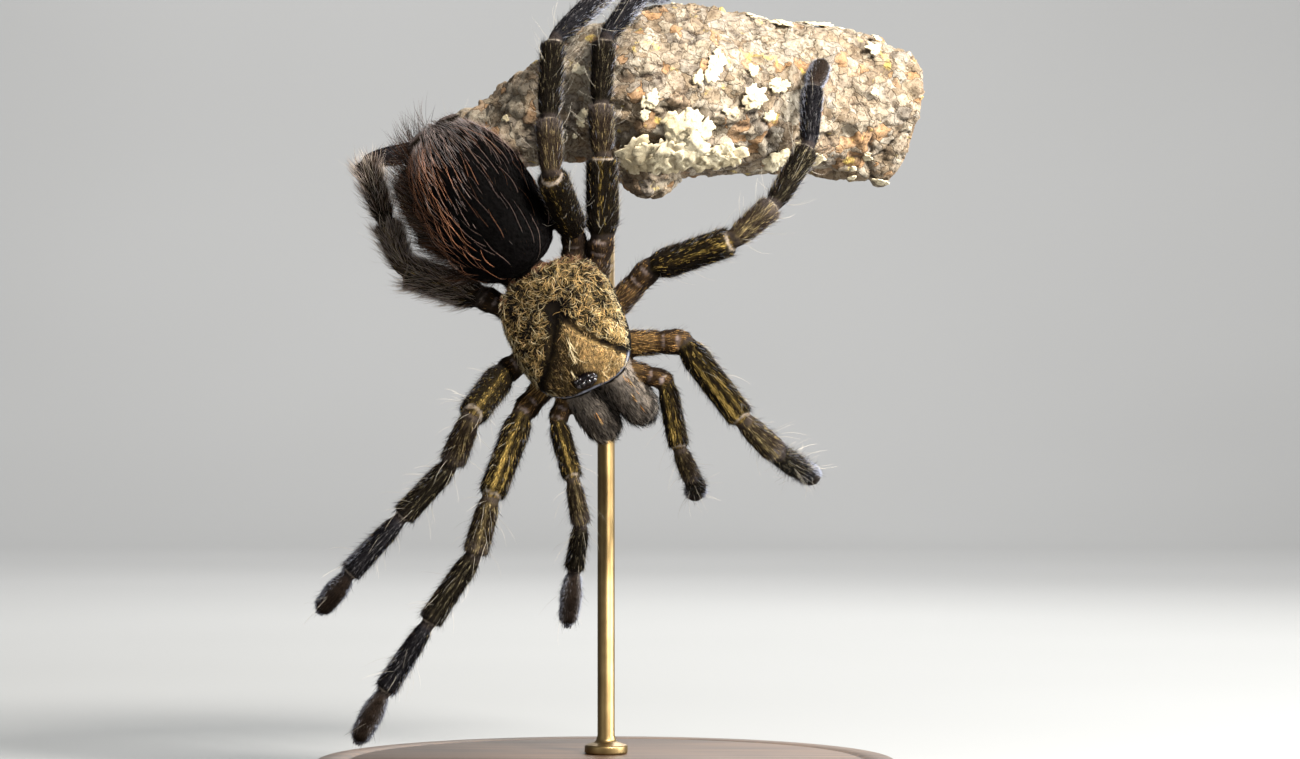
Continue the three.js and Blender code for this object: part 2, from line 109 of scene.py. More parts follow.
# Shares of a segment's length and girth: narrow inside the last one's rim, then widening to its own.
PROFILES = {
    "coxa": ((-0.1, 0), (0, 0.75), (0.5, 1), (1, 0.95), (1.15, 0)),
    "trochanter": ((-0.3, 0), (0, 0.85), (0.7, 1), (1.15, 0.8), (1.4, 0)),
    "femur": ((-0.06, 0), (0, 0.74), (0.2, 0.96), (0.96, 0.94), (1.07, 0)),
    "patella": ((-0.1, 0), (0, 0.76), (0.3, 0.9), (0.94, 1), (1.08, 0)),
    "tibia": ((-0.06, 0), (0, 0.76), (0.2, 0.92), (0.96, 1), (1.06, 0)),
    "metatarsus": ((-0.06, 0), (0, 0.68), (0.3, 0.9), (0.97, 1), (1.06, 0)),
    "tarsus": ((-0.08, 0), (0, 0.66), (0.4, 1), (0.84, 0.9), (0.98, 0.42), (1, 0)),
    "chelicera": (
        (-0.02, 0), (0.02, 0.8), (0.2, 0.96), (0.5, 1), (0.78, 0.95), (0.92, 0.72), (0.98, 0.4), (1, 0),
    ),
    "abdomen": (
        (0, 0), (0.01, 0.34), (0.07, 0.7), (0.2, 0.93), (0.4, 1),
        (0.62, 0.98), (0.8, 0.83), (0.92, 0.58), (0.985, 0.28), (1, 0),
    ),
    "pedicel": ((0, 0), (0.02, 1), (0.98, 1), (1, 0)),
    "spinneret": ((-0.1, 0), (0, 0.8), (0.3, 1), (0.6, 0.9), (0.9, 0.6), (1, 0)),
}
CARAPACE_OUTLINE = (
    (0.535, 0), (0.53, 0.16), (0.5, 0.285), (0.42, 0.395), (0.26, 0.475), (0.02, 0.5),
    (-0.22, 0.485), (-0.39, 0.38), (-0.47, 0.22), (-0.485, 0.08), (-0.475, 0),
)

# The branch's middle line and radius, from its right cut end to its left.
PERCH = (
    ((40.5, 19.5, 94.3), 10.0),
    ((35, 17.5, 95.3), 10.3),
    ((29.5, 15, 96.0), 10.4),
    ((22, 12, 96.2), 10.9),
    ((13, 8.5, 96.7), 12.0),
    ((4.7, 6.5, 96.4), 12.4),
    ((-1, 7, 96.6), 9.9),
    ((-7.8, 8, 94.1), 7.2),
    ((-14.3, 9.6, 91), 6.0),
    ((-19.8, 11.4, 88.7), 5.2),
)
OVER_ROD = 6  # the place in PERCH that the rod runs up into
KNOB = {"at": (6.2, 4.5, 86.2), "radius": 4.6}

# How far the skin lies inside the coat's tips, by region.
COAT_DEPTH = {
    "coxa": 0.25, "trochanter": 0.2, "femur": 0.28, "patella": 0.26, "tibia": 0.26,
    "metatarsus": 0.26, "tarsus": 0.34, "chelicera": 0.08, "abdomen": 0.45, "pedicel": 0.3,
    "spinneret": 0.1, "carapace": 0.3, "sternum": 0.35,
}

LEG_PARTS = ("coxa", "trochanter", "femur", "patella", "tibia", "metatarsus", "tarsus")
PALP_PARTS = ("coxa", "trochanter", "femur", "patella", "tibia", "tarsus")

SKIN_VOXEL = 0.32
PROFILE_STEPS = 121
SMOOTHING = np.hanning(9)[1:-1] / np.hanning(9).sum()
# How finely the shells are meshed before they are made one: rings along, and sides round.
TURNED_GRID = (26, 28)
CARAPACE_GRID = (36, 96)
STERNUM_GRID = (24, 36)

# ---------- colours, linear ----------

BLACK = np.array((0.0020, 0.0016, 0.0016))
CHARCOAL = np.array((0.0048, 0.0046, 0.0058))
UMBER = np.array((0.0060, 0.0044, 0.0028))
BROWN = np.array((0.050, 0.033, 0.023))
RUST = np.array((0.25, 0.118, 0.066))
OLIVE_GOLD = np.array((0.34, 0.24, 0.09))
GOLD = np.array((0.86, 0.56, 0.22))
CREAM = np.array((0.92, 0.76, 0.46))
TAN = np.array((0.52, 0.40, 0.24))
TAUPE = np.array((0.40, 0.335, 0.27))
ROSE_GREY = np.array((0.30, 0.24, 0.225))
BLUE_GREY = np.array((0.115, 0.120, 0.145))
SLATE = np.array((0.190, 0.178, 0.180))
PALE_HAIR = np.array((0.60, 0.54, 0.44))
MAUVE = np.array((0.145, 0.120, 0.112))
MEMBRANE = np.array((0.022, 0.017, 0.015))

# ---------- vectors and frames ----------


def unit(v):
    return v / np.maximum(np.linalg.norm(v, axis=-1, keepdims=True), 1e-12)


def dot(a, b):
    return np.sum(a * b, axis=-1, keepdims=True)


def across(v, axis):
    """The part of v square to a unit axis."""
    return v - dot(v, axis) * axis


def heading(clock, lean):
    """A direction: degrees from +X up towards +Z, then degrees of lean towards -Y."""
    c, l = math.radians(clock), math.radians(lean)
    return np.array((math.cos(l) * math.cos(c), -math.sin(l), math.cos(l) * math.sin(c)))


def turned_about(v, axis, angle):
    """v turned about a unit axis by an angle in radians."""
    c = math.cos(angle)
    return v * c + np.cross(axis, v) * math.sin(angle) + axis * (v @ axis) * (1 - c)


class Frame:
    """A place with three axes, the rows of self.axes: X along the heading, Z as near to -Y as it can be."""

    def __init__(self, at, clock, lean, roll):
        x = heading(clock, lean)
        y = turned_about(unit(np.cross((0.0, -1.0, 0.0), x)), x, math.radians(roll))
        self.at = np.array(at, float)
        self.axes = np.array((x, y, np.cross(x, y)))

    def out(self, points):
        return self.at + np.asarray(points, float) @ self.axes

    def into(self, points):
        return (points - self.at) @ self.axes.T


trunk = Frame(TRUNK["at"], TRUNK["clock"], TRUNK["lean"], TRUNK["roll"])
rear = Frame(ABDOMEN["at"], ABDOMEN["clock"], ABDOMEN["lean"], ABDOMEN["roll"])


def on_side(point, side):
    """A point or direction given for the left side, or its mirror image for a side of -1."""
    return np.array((point[0], side * point[1], point[2]), float)


def smoothstep(low, high, x):
    """0 below low, 1 above high, and a smooth rise between."""
    t = np.clip((x - low) / (high - low), 0, 1)
    return t * t * (3 - 2 * t)


def bell(x, middle, width):
    """1 at the middle, falling to nothing in about two widths."""
    return np.exp(-(((x - middle) / width) ** 2))


# ---------- noise ----------


def noise(points, size, seed=0):
    """Smooth noise from -1 to 1 with features about the given size."""
    p = np.asarray(points, float) / size + 31.7 * seed
    cell = np.floor(p).astype(np.int64)
    part = p - cell
    part = part * part * (3 - 2 * part)
    total = np.zeros(p.shape[:-1])
    for corner in itertools.product((0, 1), repeat=3):
        c = cell + corner
        h = (c[..., 0] * 73856093) ^ (c[..., 1] * 19349663) ^ (c[..., 2] * 83492791)
        h = ((h & 0xFFFFFF) * 2654435761) & 0xFFFFFFFF
        value = ((h ^ (h >> 15)) & 0xFFFF) / 32767.5 - 1
        total += value * np.prod(np.where(corner, part, 1 - part), axis=-1)
    return total


def layered(points, size, octaves, seed=0):
    """Noise of several sizes, each half the last."""
    total = sum(noise(points, size / 2**i, seed + i) / 2**i for i in range(octaves))
    return total / (2 - 2 ** (1 - octaves))


# ---------- meshes ----------


def place(name, verts, faces, colours=None, uvs=None, smooth=True):
    """An object from points in millimetres and faces that all have the same number of corners."""
    faces = np.asarray(faces, np.int32)
    mesh = bpy.data.meshes.new(name)
    mesh.vertices.add(len(verts))
    mesh.vertices.foreach_set("co", (np.asarray(verts) * MM).astype(np.float32).ravel())
    mesh.loops.add(faces.size)
    mesh.loops.foreach_set("vertex_index", faces.ravel())
    mesh.polygons.add(len(faces))
    mesh.polygons.foreach_set("loop_start", np.arange(0, faces.size, faces.shape[1], dtype=np.int32))
    mesh.update(calc_edges=True)
    if smooth:
        mesh.shade_smooth()
    if colours is not None:
        paint(mesh, "tint", colours)
    if uvs is not None:
        layer = mesh.uv_layers.new(name="OFBake")
        layer.data.foreach_set("uv", uvs[faces.ravel()].astype(np.float32).ravel())
    obj = bpy.data.objects.new(name, mesh)
    bpy.context.scene.collection.objects.link(obj)
    return obj


def paint(mesh, name, colours):
    """A colour for each vertex, kept as an attribute that the materials read."""
    attribute = mesh.attributes.new(name, "FLOAT_COLOR", "POINT")
    rgba = np.ones((len(colours), 4), np.float32)
    rgba[:, :3] = colours
    attribute.data.foreach_set("color", rgba.ravel())


def sphere(rows, columns):
    """The points and quads of a ball of radius 1."""
    u = np.linspace(0, math.pi, rows)[:, None]
    v = np.linspace(0, 2 * math.pi, columns, endpoint=False)[None]
    points = np.stack((np.sin(u) * np.cos(v), np.sin(u) * np.sin(v), np.cos(u) * np.ones_like(v)), -1)
    return points.reshape(-1, 3), grid_faces(rows, columns)


def spline(a, b, c, d, t):
    """The stretch from b to c of a Catmull-Rom curve."""
    return 0.5 * (2 * b + (c - a) * t + (2 * a - 5 * b + 4 * c - d) * t**2 + (3 * b - a - 3 * c + d) * t**3)


def curve_through(points, steps):
    """A curve through the points, with so many steps from one to the next."""
    p = np.concatenate((points[:1], points, points[-1:]))
    made = []
    for i in range(len(points) - 1):
        t = np.linspace(0, 1, steps, endpoint=i == len(points) - 2)[:, None]
        made.append(spline(*p[i : i + 4], t))
    return np.concatenate(made)


def joined(parts):
    """One list of points and one of faces from several."""
    verts, faces, base = [], [], 0
    for v, f in parts:
        verts.append(v)
        faces.append(f + base)
        base += len(v)
    return np.concatenate(verts), np.concatenate(faces)


def grid_faces(rows, columns, wrap=True):
    """Quads of a grid of points, whose columns may close into a ring."""
    r = np.arange(rows - 1)[:, None]
    c = np.arange(columns if wrap else columns - 1)[None, :]
    after = (c + 1) % columns
    quads = (r * columns + c, r * columns + after, (r + 1) * columns + after, (r + 1) * columns + c)
    return np.stack(np.broadcast_arrays(*quads), axis=-1).reshape(-1, 4)


def triangles(quads):
    return np.concatenate((quads[:, (0, 1, 2)], quads[:, (0, 2, 3)]))


def revolved(profile, sides=96):
    """A closed body of revolution about Z from (radius, height) points that start and end on the axis."""
    angle = np.linspace(0, 2 * math.pi, sides, endpoint=False)
    rows = [np.stack((r * np.cos(angle), r * np.sin(angle), np.full(sides, z)), -1) for r, z in profile]
    return np.concatenate(rows), grid_faces(len(profile), sides)


def welded(obj, distance=0.002):
    """Joins the points of an object that lie together, such as those at a pole."""
    bm = bmesh.new()
    bm.from_mesh(obj.data)
    bmesh.ops.remove_doubles(bm, verts=bm.verts, dist=distance * MM)
    bmesh.ops.recalc_face_normals(bm, faces=bm.faces)
    bm.to_mesh(obj.data)
    bm.free()
    return obj


# ---------- regions of the body ----------


class Turned:
    """A turned part of the body, from start to end, with a radius along it and a side that is its back."""

    def __init__(self, name, part, start, end, girth, back, deep=1.0):
        self.name, self.part = name, part
        self.start = np.asarray(start, float)
        self.length = float(np.linalg.norm(np.asarray(end) - self.start))
        self.axis = (np.asarray(end) - self.start) / self.length
        self.back = unit(across(np.asarray(back, float), self.axis))
        self.side = np.cross(self.axis, self.back)
        self.deep = deep
        profile = np.array(PROFILES[part], float)
        self.low, self.high = profile[0, 0], profile[-1, 0]
        self.t = np.linspace(self.low, self.high, PROFILE_STEPS)
        coat = np.interp(self.t, profile[:, 0], profile[:, 1]) * girth
        soft = np.convolve(np.pad(coat, len(SMOOTHING) // 2, mode="reflect"), SMOOTHING, "valid")
        ends = bell(self.t, self.low, 0.02) + bell(self.t, self.high, 0.02)
        self.r = np.maximum(np.where(ends > 0.5, coat, soft) - COAT_DEPTH[part], 0)

    def radius(self, t):
        return np.interp(t, self.t, self.r)

    def coordinates(self, points):
        """Share of the length, angle round from the back, and distance from the axis."""
        rel = points - self.start
        along = rel @ self.axis
        up = (rel @ self.back) / self.deep
        beside = rel @ self.side
        return along / self.length, np.arctan2(beside, up), np.hypot(beside, up)

    def point(self, t, angle, lift=0.0):
        r = (self.radius(t) + lift)[..., None]
        ring = np.cos(angle)[..., None] * self.back * self.deep + np.sin(angle)[..., None] * self.side
        return self.start + (np.asarray(t) * self.length)[..., None] * self.axis + r * ring

    def distance(self, points):
        t, _, r = self.coordinates(points)
        inside = np.clip(t, self.low, self.high)
        return np.hypot(r - self.radius(inside), (t - inside) * self.length)

    def unwrapped(self, points):
        t, angle, _ = self.coordinates(points)
        return np.stack(((angle / math.pi + 1) / 2, (t - self.low) / (self.high - self.low)), -1)

    def lie(self, points):
        return np.broadcast_to(self.axis, points.shape)

    def shell(self):
        rings, sides = TURNED_GRID
        t = np.repeat(np.linspace(self.low, self.high, rings)[:, None], sides, 1)
        angle = np.repeat(np.linspace(0, 2 * math.pi, sides, endpoint=False)[None], rings, 0)
        return self.point(t, angle).reshape(-1, 3), grid_faces(rings, sides)


class Carapace:
    """The shield over head and legs: a dome on a spade-shaped outline, with pit, grooves and raised head."""

    name = part = "carapace"

    def __init__(self):
        shares = curve_through(np.array(CARAPACE_OUTLINE, float), 40)
        self.angles = np.arctan2(np.abs(shares[:, 1]), shares[:, 0])
        self.reach = np.hypot(shares[:, 0], shares[:, 1])
        self.depth = COAT_DEPTH["carapace"]
        self.length = CARAPACE["length"] - 2 * self.depth
        self.width = CARAPACE["width"] - 2 * self.depth

    def plan(self, x, y):
        """Angle and spread of a place in plan, where a spread of 1 is the edge."""
        angle = np.arctan2(y / self.width, x / self.length)
        edge = np.interp(np.abs(angle), self.angles, self.reach)
        return angle, np.hypot(x / self.length, y / self.width) / edge

    def groove(self, x, y):
        """How deep in one of the grooves a place is, from 0 to 1."""
        fx, fy = x - FOVEA["x"], np.abs(y)
        bearing = math.radians(GROOVE["bearing"])
        along = fx * math.cos(bearing) + fy * math.sin(bearing)
        off = -fx * math.sin(bearing) + fy * math.cos(bearing)
        wide = np.where(y < 0, *GROOVE["widths"])
        middle = -GROOVE["bow"] * np.sin(np.clip(along / GROOVE["length"], 0, 1) * math.pi)
        return bell(off, middle, wide) * smoothstep(0.6, 1.6, along)

    def striae(self, x, y):
        """The shallower grooves that run out from the pit between the legs."""
        fx, fy = x - FOVEA["x"], np.abs(y)
        bearing, reach = np.arctan2(fy, fx), np.hypot(fx, fy)
        rays = sum(bell(bearing, math.radians(ray), STRIAE["width"]) for ray in STRIAE["bearings"])
        return rays * smoothstep(*STRIAE["from"], reach) * (1 - smoothstep(*STRIAE["to"], reach))

    def top(self, x, y):
        _, s = self.plan(x, y)
        caput = np.exp(-(((x - CAPUT["x"]) / CAPUT["half_length"]) ** 2) - (y / CAPUT["half_width"]) ** 2)
        pit = np.exp(-((x - FOVEA["x"]) ** 2 + y**2) / FOVEA["radius"] ** 2)
        above = CARAPACE["height"] + CAPUT["rise"] * caput - FOVEA["depth"] * pit - self.depth
        above = above - GROOVE["depth"] * self.groove(x, y) - STRIAE["depth"] * self.striae(x, y)
        dome = np.power(np.clip(1 - s**2, 0, 1), 0.25)
        return dome * above

    def coordinates(self, points):
        p = trunk.into(points)
        angle, s = self.plan(p[:, 0], p[:, 1])
        return s, angle, p[:, 2]

    def distance(self, points):
        x, y, z = trunk.into(points).T
        _, s = self.plan(x, y)
        above = self.top(x / np.maximum(s, 1) * 0.98, y / np.maximum(s, 1) * 0.98) + 0.4
        under = CARAPACE["underside"]
        z = np.where(z > 0, z / np.maximum(above, 1), z / under)
        outside = s**2 + np.where(z > 0, z**4, z**2) - 1
        steep = np.hypot(2 * s / (self.width / 2), np.where(z > 0, z**3, 2 * z / under))
        return np.abs(outside) / np.maximum(steep, 0.12)

    def unwrapped(self, points):
        s, angle, z = self.coordinates(points)
        return np.stack(((angle / math.pi + 1) / 2, np.clip(np.where(z > 0, 1 - s * 0.8, 0.1), 0, 1)), -1)

    def lie(self, points):
        return np.broadcast_to(trunk.axes[0], points.shape)

    def shell(self):
        rings, sides = CARAPACE_GRID
        spread = np.sin(np.linspace(0, math.pi / 2, rings))
        angle = np.linspace(0, 2 * math.pi, sides, endpoint=False)
        reach = np.interp(np.abs((angle + math.pi) % (2 * math.pi) - math.pi), self.angles, self.reach)
        s = np.concatenate((spread, spread[::-1][1:]))[:, None]
        x = s * reach * np.cos(angle) * self.length
        y = s * reach * np.sin(angle) * self.width
        above = self.top(x, y)
        below = -CARAPACE["underside"] * np.sqrt(np.clip(1 - s**2, 0, 1)) * np.ones_like(x)
        z = np.where(np.arange(len(s))[:, None] < len(spread), above, below)
        return trunk.out(np.stack((x, y, z), -1).reshape(-1, 3)), grid_faces(len(s), sides)


class Sternum:
    """The plate between the legs, with the lip at its front."""

    name = part = "sternum"

    def __init__(self):
        depth = COAT_DEPTH["sternum"]
        self.middle = np.array((STERNUM["x"], 0, STERNUM["top"] - STERNUM["depth"] / 2))
        self.half = np.array((STERNUM["length"], STERNUM["width"], STERNUM["depth"])) / 2 - depth

    def coordinates(self, points):
        p = (trunk.into(points) - self.middle) / self.half
        return p[:, 0], np.arctan2(p[:, 1], -p[:, 2]), np.linalg.norm(p, axis=1)

    def distance(self, points):
        _, _, r = self.coordinates(points)
        return np.abs(r - 1) * self.half.min()

    def unwrapped(self, points):
        x, angle, _ = self.coordinates(points)
        return np.stack(((angle / math.pi + 1) / 2, np.clip((x + 1) / 2, 0, 1)), -1)

    def lie(self, points):
        return np.broadcast_to(-trunk.axes[0], points.shape)

    def shell(self):
        rings, sides = STERNUM_GRID
        u = np.linspace(0, math.pi, rings)[:, None]
        v = np.linspace(0, 2 * math.pi, sides, endpoint=False)[None]
        x = np.cos(u) * np.ones_like(v)
        wide = 1 + STERNUM["taper"] * np.sin(x / 2 * math.pi)
        p = np.stack((x, wide * np.sin(u) * np.cos(v), np.sin(u) * np.sin(v)), -1) * self.half + self.middle
        return trunk.out(p.reshape(-1, 3)), grid_faces(rings, sides)


def kind_of(limb):
    return "palp" if limb.startswith("palp") else limb[-1]


def limb_regions(limb):
    """A limb's segments as turned regions. The back is carried along from joint to joint without a twist."""
    hip_local, bearings = LIMBS[limb]
    kind = kind_of(limb)
    parts = PALP_PARTS if kind == "palp" else LEG_PARTS
    root = trunk.out(on_side(ROOTS[kind], 1 if "left" in limb else -1))
    hip = trunk.out(hip_local)
    joints = [root, root + (hip - root) * COXA_SHARE, hip]
    for bearing, length in zip(bearings, LENGTHS[kind]):
        joints.append(joints[-1] + heading(*bearing) * length)
    regions = []
    back = trunk.axes[2]
    before = unit(hip - root)
    for part, start, end, girth in zip(parts, joints, joints[1:], GIRTHS[kind]):
        axis = unit(end - start)
        hinge = np.cross(before, axis)
        bend = float(np.linalg.norm(hinge))
        if bend > 1e-6:
            back = turned_about(back, hinge / bend, math.atan2(bend, float(before @ axis)))
        regions.append(Turned(f"{limb}_{part}", part, start, end, girth, back))
        before = axis
    return regions


CHELICERA_AIM = unit(np.array((
    math.cos(math.radians(CHELICERA["yaw"])),
    math.sin(math.radians(CHELICERA["yaw"])),
    -math.tan(math.radians(CHELICERA["droop"])),
)))


def paired(frame_, part, sizes, aim, side, deep=1.0):
    """The left or the right one of a pair that grows from the trunk or the abdomen."""
    root = on_side(sizes["root"], side)
    start, end = frame_.out(root), frame_.out(root + aim * sizes["length"])
    label = "left" if side > 0 else "right"
    return Turned(f"{part}_{label}", part, start, end, sizes["girth"], frame_.axes[2], deep)


def body_regions():
    half = np.array((ABDOMEN["half_length"], 0, 0))
    front, tail = rear.out(-half), rear.out(half)
    waist = trunk.out(PEDICEL["from"])
    behind_waist = front + (tail - front) * PEDICEL["into_abdomen"]
    regions = [Carapace(), Sternum()]
    regions.append(Turned("abdomen", "abdomen", front, tail, ABDOMEN["girth"], rear.axes[2]))
    regions.append(Turned("pedicel", "pedicel", waist, behind_waist, PEDICEL["radius"], trunk.axes[2]))
    for side in (1, -1):
        regions.append(paired(trunk, "chelicera", CHELICERA, CHELICERA_AIM, side, CHELICERA["deep"]))
    for side in (1, -1):
        regions.append(paired(rear, "spinneret", SPINNERET, unit(on_side(SPINNERET["aim"], side)), side))
    for limb in LIMBS:
        regions += limb_regions(limb)
    return regions


REGIONS = body_regions()
INDEX = {region.name: i for i, region in enumerate(REGIONS)}
PARTS = np.array([region.part for region in REGIONS])

# ---------- skin ----------


def remeshed(parts, voxel, smoothing, name):
    """One closed surface round several overlapping closed bodies. Returns its points and quads."""
    verts, faces = joined(parts)
    obj = welded(place(name, verts, faces))
    remesh = obj.modifiers.new("union", "REMESH")
    remesh.mode = "VOXEL"
    remesh.voxel_size = voxel * MM
    smooth = obj.modifiers.new("smooth", "SMOOTH")
    smooth.iterations = smoothing
    smooth.factor = 0.5
    made = bpy.data.meshes.new_from_object(obj.evaluated_get(bpy.context.evaluated_depsgraph_get()))
    points = np.empty(len(made.vertices) * 3, np.float32)
    made.vertices.foreach_get("co", points)
    corners = np.empty(len(made.loops), np.int32)
    made.loops.foreach_get("vertex_index", corners)
    bpy.data.objects.remove(obj)
    bpy.data.meshes.remove(made)
    return points.reshape(-1, 3) / MM, corners.reshape(-1, 4)


def vertex_normals(points, quads):
    """A normal for each point, from the quads round it."""
    a, b, c, d = (points[quads[:, i]] for i in range(4))
    facing = np.cross(c - a, d - b)
    normals = np.zeros_like(points)
    for i in range(4):
        np.add.at(normals, quads[:, i], facing)
    return unit(normals)


def nearest_regions(points):
    """The region that each point of the skin belongs to."""
    best = np.full(len(points), np.inf)
    index = np.zeros(len(points), int)
    for i, region in enumerate(REGIONS):
        away = region.distance(points)
        closer = away < best
        best[closer] = away[closer]
        index[closer] = i
    return index


class Skin:
    """The body's surface, and for each of its triangles the region, the place on it and the area."""

    def __init__(self):
        shells = [region.shell() for region in REGIONS]
        self.points, self.quads = remeshed(shells, SKIN_VOXEL, 3, "skin_union")
        self.normals = vertex_normals(self.points, self.quads)
        self.regions = nearest_regions(self.points)
        self.tris = triangles(self.quads)
        a, b, c = (self.points[self.tris[:, i]] for i in range(3))
        self.areas = np.linalg.norm(np.cross(b - a, c - a), axis=1) / 2
        self.tri_regions = self.regions[self.tris[:, 0]]
        self.t, self.angle = self.coordinates((a + b + c) / 3, self.tri_regions)

    @staticmethod
    def coordinates(points, regions):
        t, angle = np.zeros(len(points)), np.zeros(len(points))
        for i, region in enumerate(REGIONS):
            own = regions == i
            if own.any():
                t[own], angle[own], _ = region.coordinates(points[own])
        return t, angle

    def roots(self, rng, density):
        """Random places on the skin, density[i] to each square millimetre of triangle i."""
        weights = np.cumsum(self.areas * density)
        count = int(weights[-1])
        chosen = np.searchsorted(weights, rng.random(count) * weights[-1])
        u, v = rng.random(count), rng.random(count)
        flip = u + v > 1
        u, v = np.where(flip, 1 - u, u), np.where(flip, 1 - v, v)
        corners = self.tris[chosen]
        shares = (1 - u - v, u, v)
        points = sum(share[:, None] * self.points[corners[:, i]] for i, share in enumerate(shares))
        normals = unit(sum(share[:, None] * self.normals[corners[:, i]] for i, share in enumerate(shares)))
        regions = self.tri_regions[chosen]
        t, angle = self.coordinates(points, regions)
        return Roots(points, normals, regions, t, angle)


class Roots:
    """Where hairs grow: points, normals, regions, and the place on each region."""

    def __init__(self, points, normals, regions, t, angle):
        self.points, self.normals, self.regions, self.t, self.angle = points, normals, regions, t, angle
        self.count = len(points)

    def lie(self):
        lie = np.zeros_like(self.points)
        for i, region in enumerate(REGIONS):
            own = self.regions == i
            if own.any():
                lie[own] = region.lie(self.points[own])
        return unit(across(lie, self.normals))

    def only(self, keep):
        kept = (self.points, self.normals, self.regions, self.t, self.angle)
        return Roots(*(values[keep] for values in kept))


# ---------- markings, shared by skin and coat ----------


def marking(dark, light, bands, end=BLACK, end_from=None, grows=0.0):
    """A part's colours. Bands of light hair are (degrees from its back, width, hairs to the square mm).

    The dark coat turns towards the end colour from a share of the length on. grows is how much denser the
    light hairs are at the end than at the start.
    """
    return {"dark": dark, "light": light, "bands": bands, "end": end, "end_from": end_from, "grows": grows}


MARKINGS = {
    "coxa": marking(BROWN * 0.4, GOLD * (0.8, 0.72, 0.6), ((-30, 22, 9.0), (25, 22, 9.0), (0, 90, 3.0))),
    "trochanter": marking(BROWN * 0.3, GOLD * (0.7, 0.6, 0.5), ((-24, 16, 7.0), (24, 16, 7.0), (0, 80, 2.0))),
    "femur": marking(
        UMBER, GOLD * (0.95, 1.0, 0.7),
        ((-36, 7, 6.0), (4, 11, 13.0), (46, 7, 3.0), (0, 150, 1.6)), grows=1.2,
    ),
    "patella": marking(
        BROWN * 0.36, TAN * (1.0, 1.0, 0.75),
        ((-6, 12, 9.0), (34, 8, 4.0), (0, 150, 3.6)), MAUVE, 0.6,
    ),
    "tibia": marking(
        UMBER, TAUPE * (0.85, 0.85, 0.62),
        ((-18, 4, 9.0), (12, 4, 9.0), (42, 4, 4.0), (0, 150, 1.5)), MAUVE * 0.6, 0.8,
    ),
    "metatarsus": marking(
        CHARCOAL, SLATE * 1.4,
        ((-18, 4, 7.0), (12, 4, 7.0), (0, 150, 1.5)), MAUVE * 0.5, 0.85,
    ),
    "tarsus": marking(BROWN * 0.35, SLATE * 1.3, ((-55, 24, 10.0), (55, 24, 10.0))),
    "chelicera": marking(SLATE * (0.27, 0.25, 0.21), SLATE * (1.55, 1.4, 1.15), ((0, 150, 11.0),)),
    "abdomen": marking(BLACK, BROWN, ((0, 360, 0.2),)),
    "pedicel": marking(BROWN * 0.5, RUST * 0.5, ((0, 360, 2.0),)),
    "spinneret": marking(UMBER, ROSE_GREY, ((-60, 22, 18.0), (60, 22, 18.0))),
    "carapace": marking(UMBER * 0.9, OLIVE_GOLD, ()),
    "sternum": marking(UMBER, BROWN, ((0, 360, 2.0),)),
}
END_SHARE = 0.3
LIGHTS = np.array([MARKINGS[part]["light"] for part in PARTS])
# How gilded each pair of limbs is: the palps and front legs most, the hind legs least. This is partly the
# markings and partly painted shade, as the hind legs lie in shade behind the body.
GILDING_AND_SHADE = {"palp": 0.7, "1": 0.95, "2": 0.45, "3": 0.22, "4": 0.2}
GILDED_LESS = ("patella", "tibia")
NOT_GILDED = ("metatarsus",)
# How pale the feet of each pair are: partly their own colour and partly painted light, taken from the feet that
# face the lamps.
PALE_AND_LIT_FEET = {"palp": 1.3, "1": 1.0, "2": 0.5, "3": 0.8, "4": 0.8}
LIGHT_COVER = 0.045  # square millimetres that a light hair hides
SKIN_LIGHT = 0.22  # how much of the light hairs' colour the skin below them takes
RIM = (0.975, 0.981)  # shares of a segment's length
RIM_END = (0.994, 0.999)
MEMBRANE_EDGE = (0.045, 0.075)
RIMMED = ("trochanter", "femur", "patella", "tibia", "metatarsus")
BARE = (*RIMMED, "tarsus")
PLATES = {"middles": (0.35, 0.9), "length": 0.10, "round": 55}


def gilding_and_shade(region):
    """A factor for the light hairs of a region: partly the markings and partly painted light and shade."""
    if not region.name.startswith(("leg", "palp")) or region.part in NOT_GILDED:
        return 1.0
    kind = kind_of(region.name.rsplit("_", 1)[0])
    if region.part == "tarsus":
        return PALE_AND_LIT_FEET[kind]
    return GILDING_AND_SHADE[kind] ** (0.5 if region.part in GILDED_LESS else 1)


GILT_AND_SHADE = np.array([gilding_and_shade(region) for region in REGIONS])


def blended(colours, other, amount):
    """Colours moved towards another colour by an amount from 0 to 1."""
    amount = amount[:, None]
    return colours * (1 - amount) + other * amount


def membrane(part, t):
    """1 on the bare skin of the joint where a segment starts, 0 elsewhere."""
    return np.isin(part, BARE) * (1 - smoothstep(*MEMBRANE_EDGE, t))


def plate(part, t, angle):
    """How much a place is on one of the smooth grey folds on a trochanter's back."""
    on = sum(bell(t, middle, PLATES["length"]) for middle in PLATES["middles"])
    on = on * bell(np.degrees(angle), 0, PLATES["round"])
    return np.where(part == "trochanter", smoothstep(0.4, 0.75, on), 0.0)


def pale_and_lit_side(regions, angle):
    """How much paler the chelicerae are made: partly their own paler outer sides, and mostly painted light on
    the spider's left one, which faces the lamps, above all on its outer side; 0 off them.
    """
    on_left = regions == INDEX["chelicera_left"]
    outward = np.where(on_left, -1.0, 1.0) * np.degrees(angle)
    side = smoothstep(5, 70, outward) * np.where(on_left, 1.0, 0.4) + 0.4 * on_left
    return np.where(PARTS[regions] == "chelicera", side, 0.0)


def pale_base(regions, t):
    """1 on the pale band where the chelicerae leave the head, 0 elsewhere."""
    return np.where(PARTS[regions] == "chelicera", 1 - smoothstep(0.10, 0.2, t), 0.0)


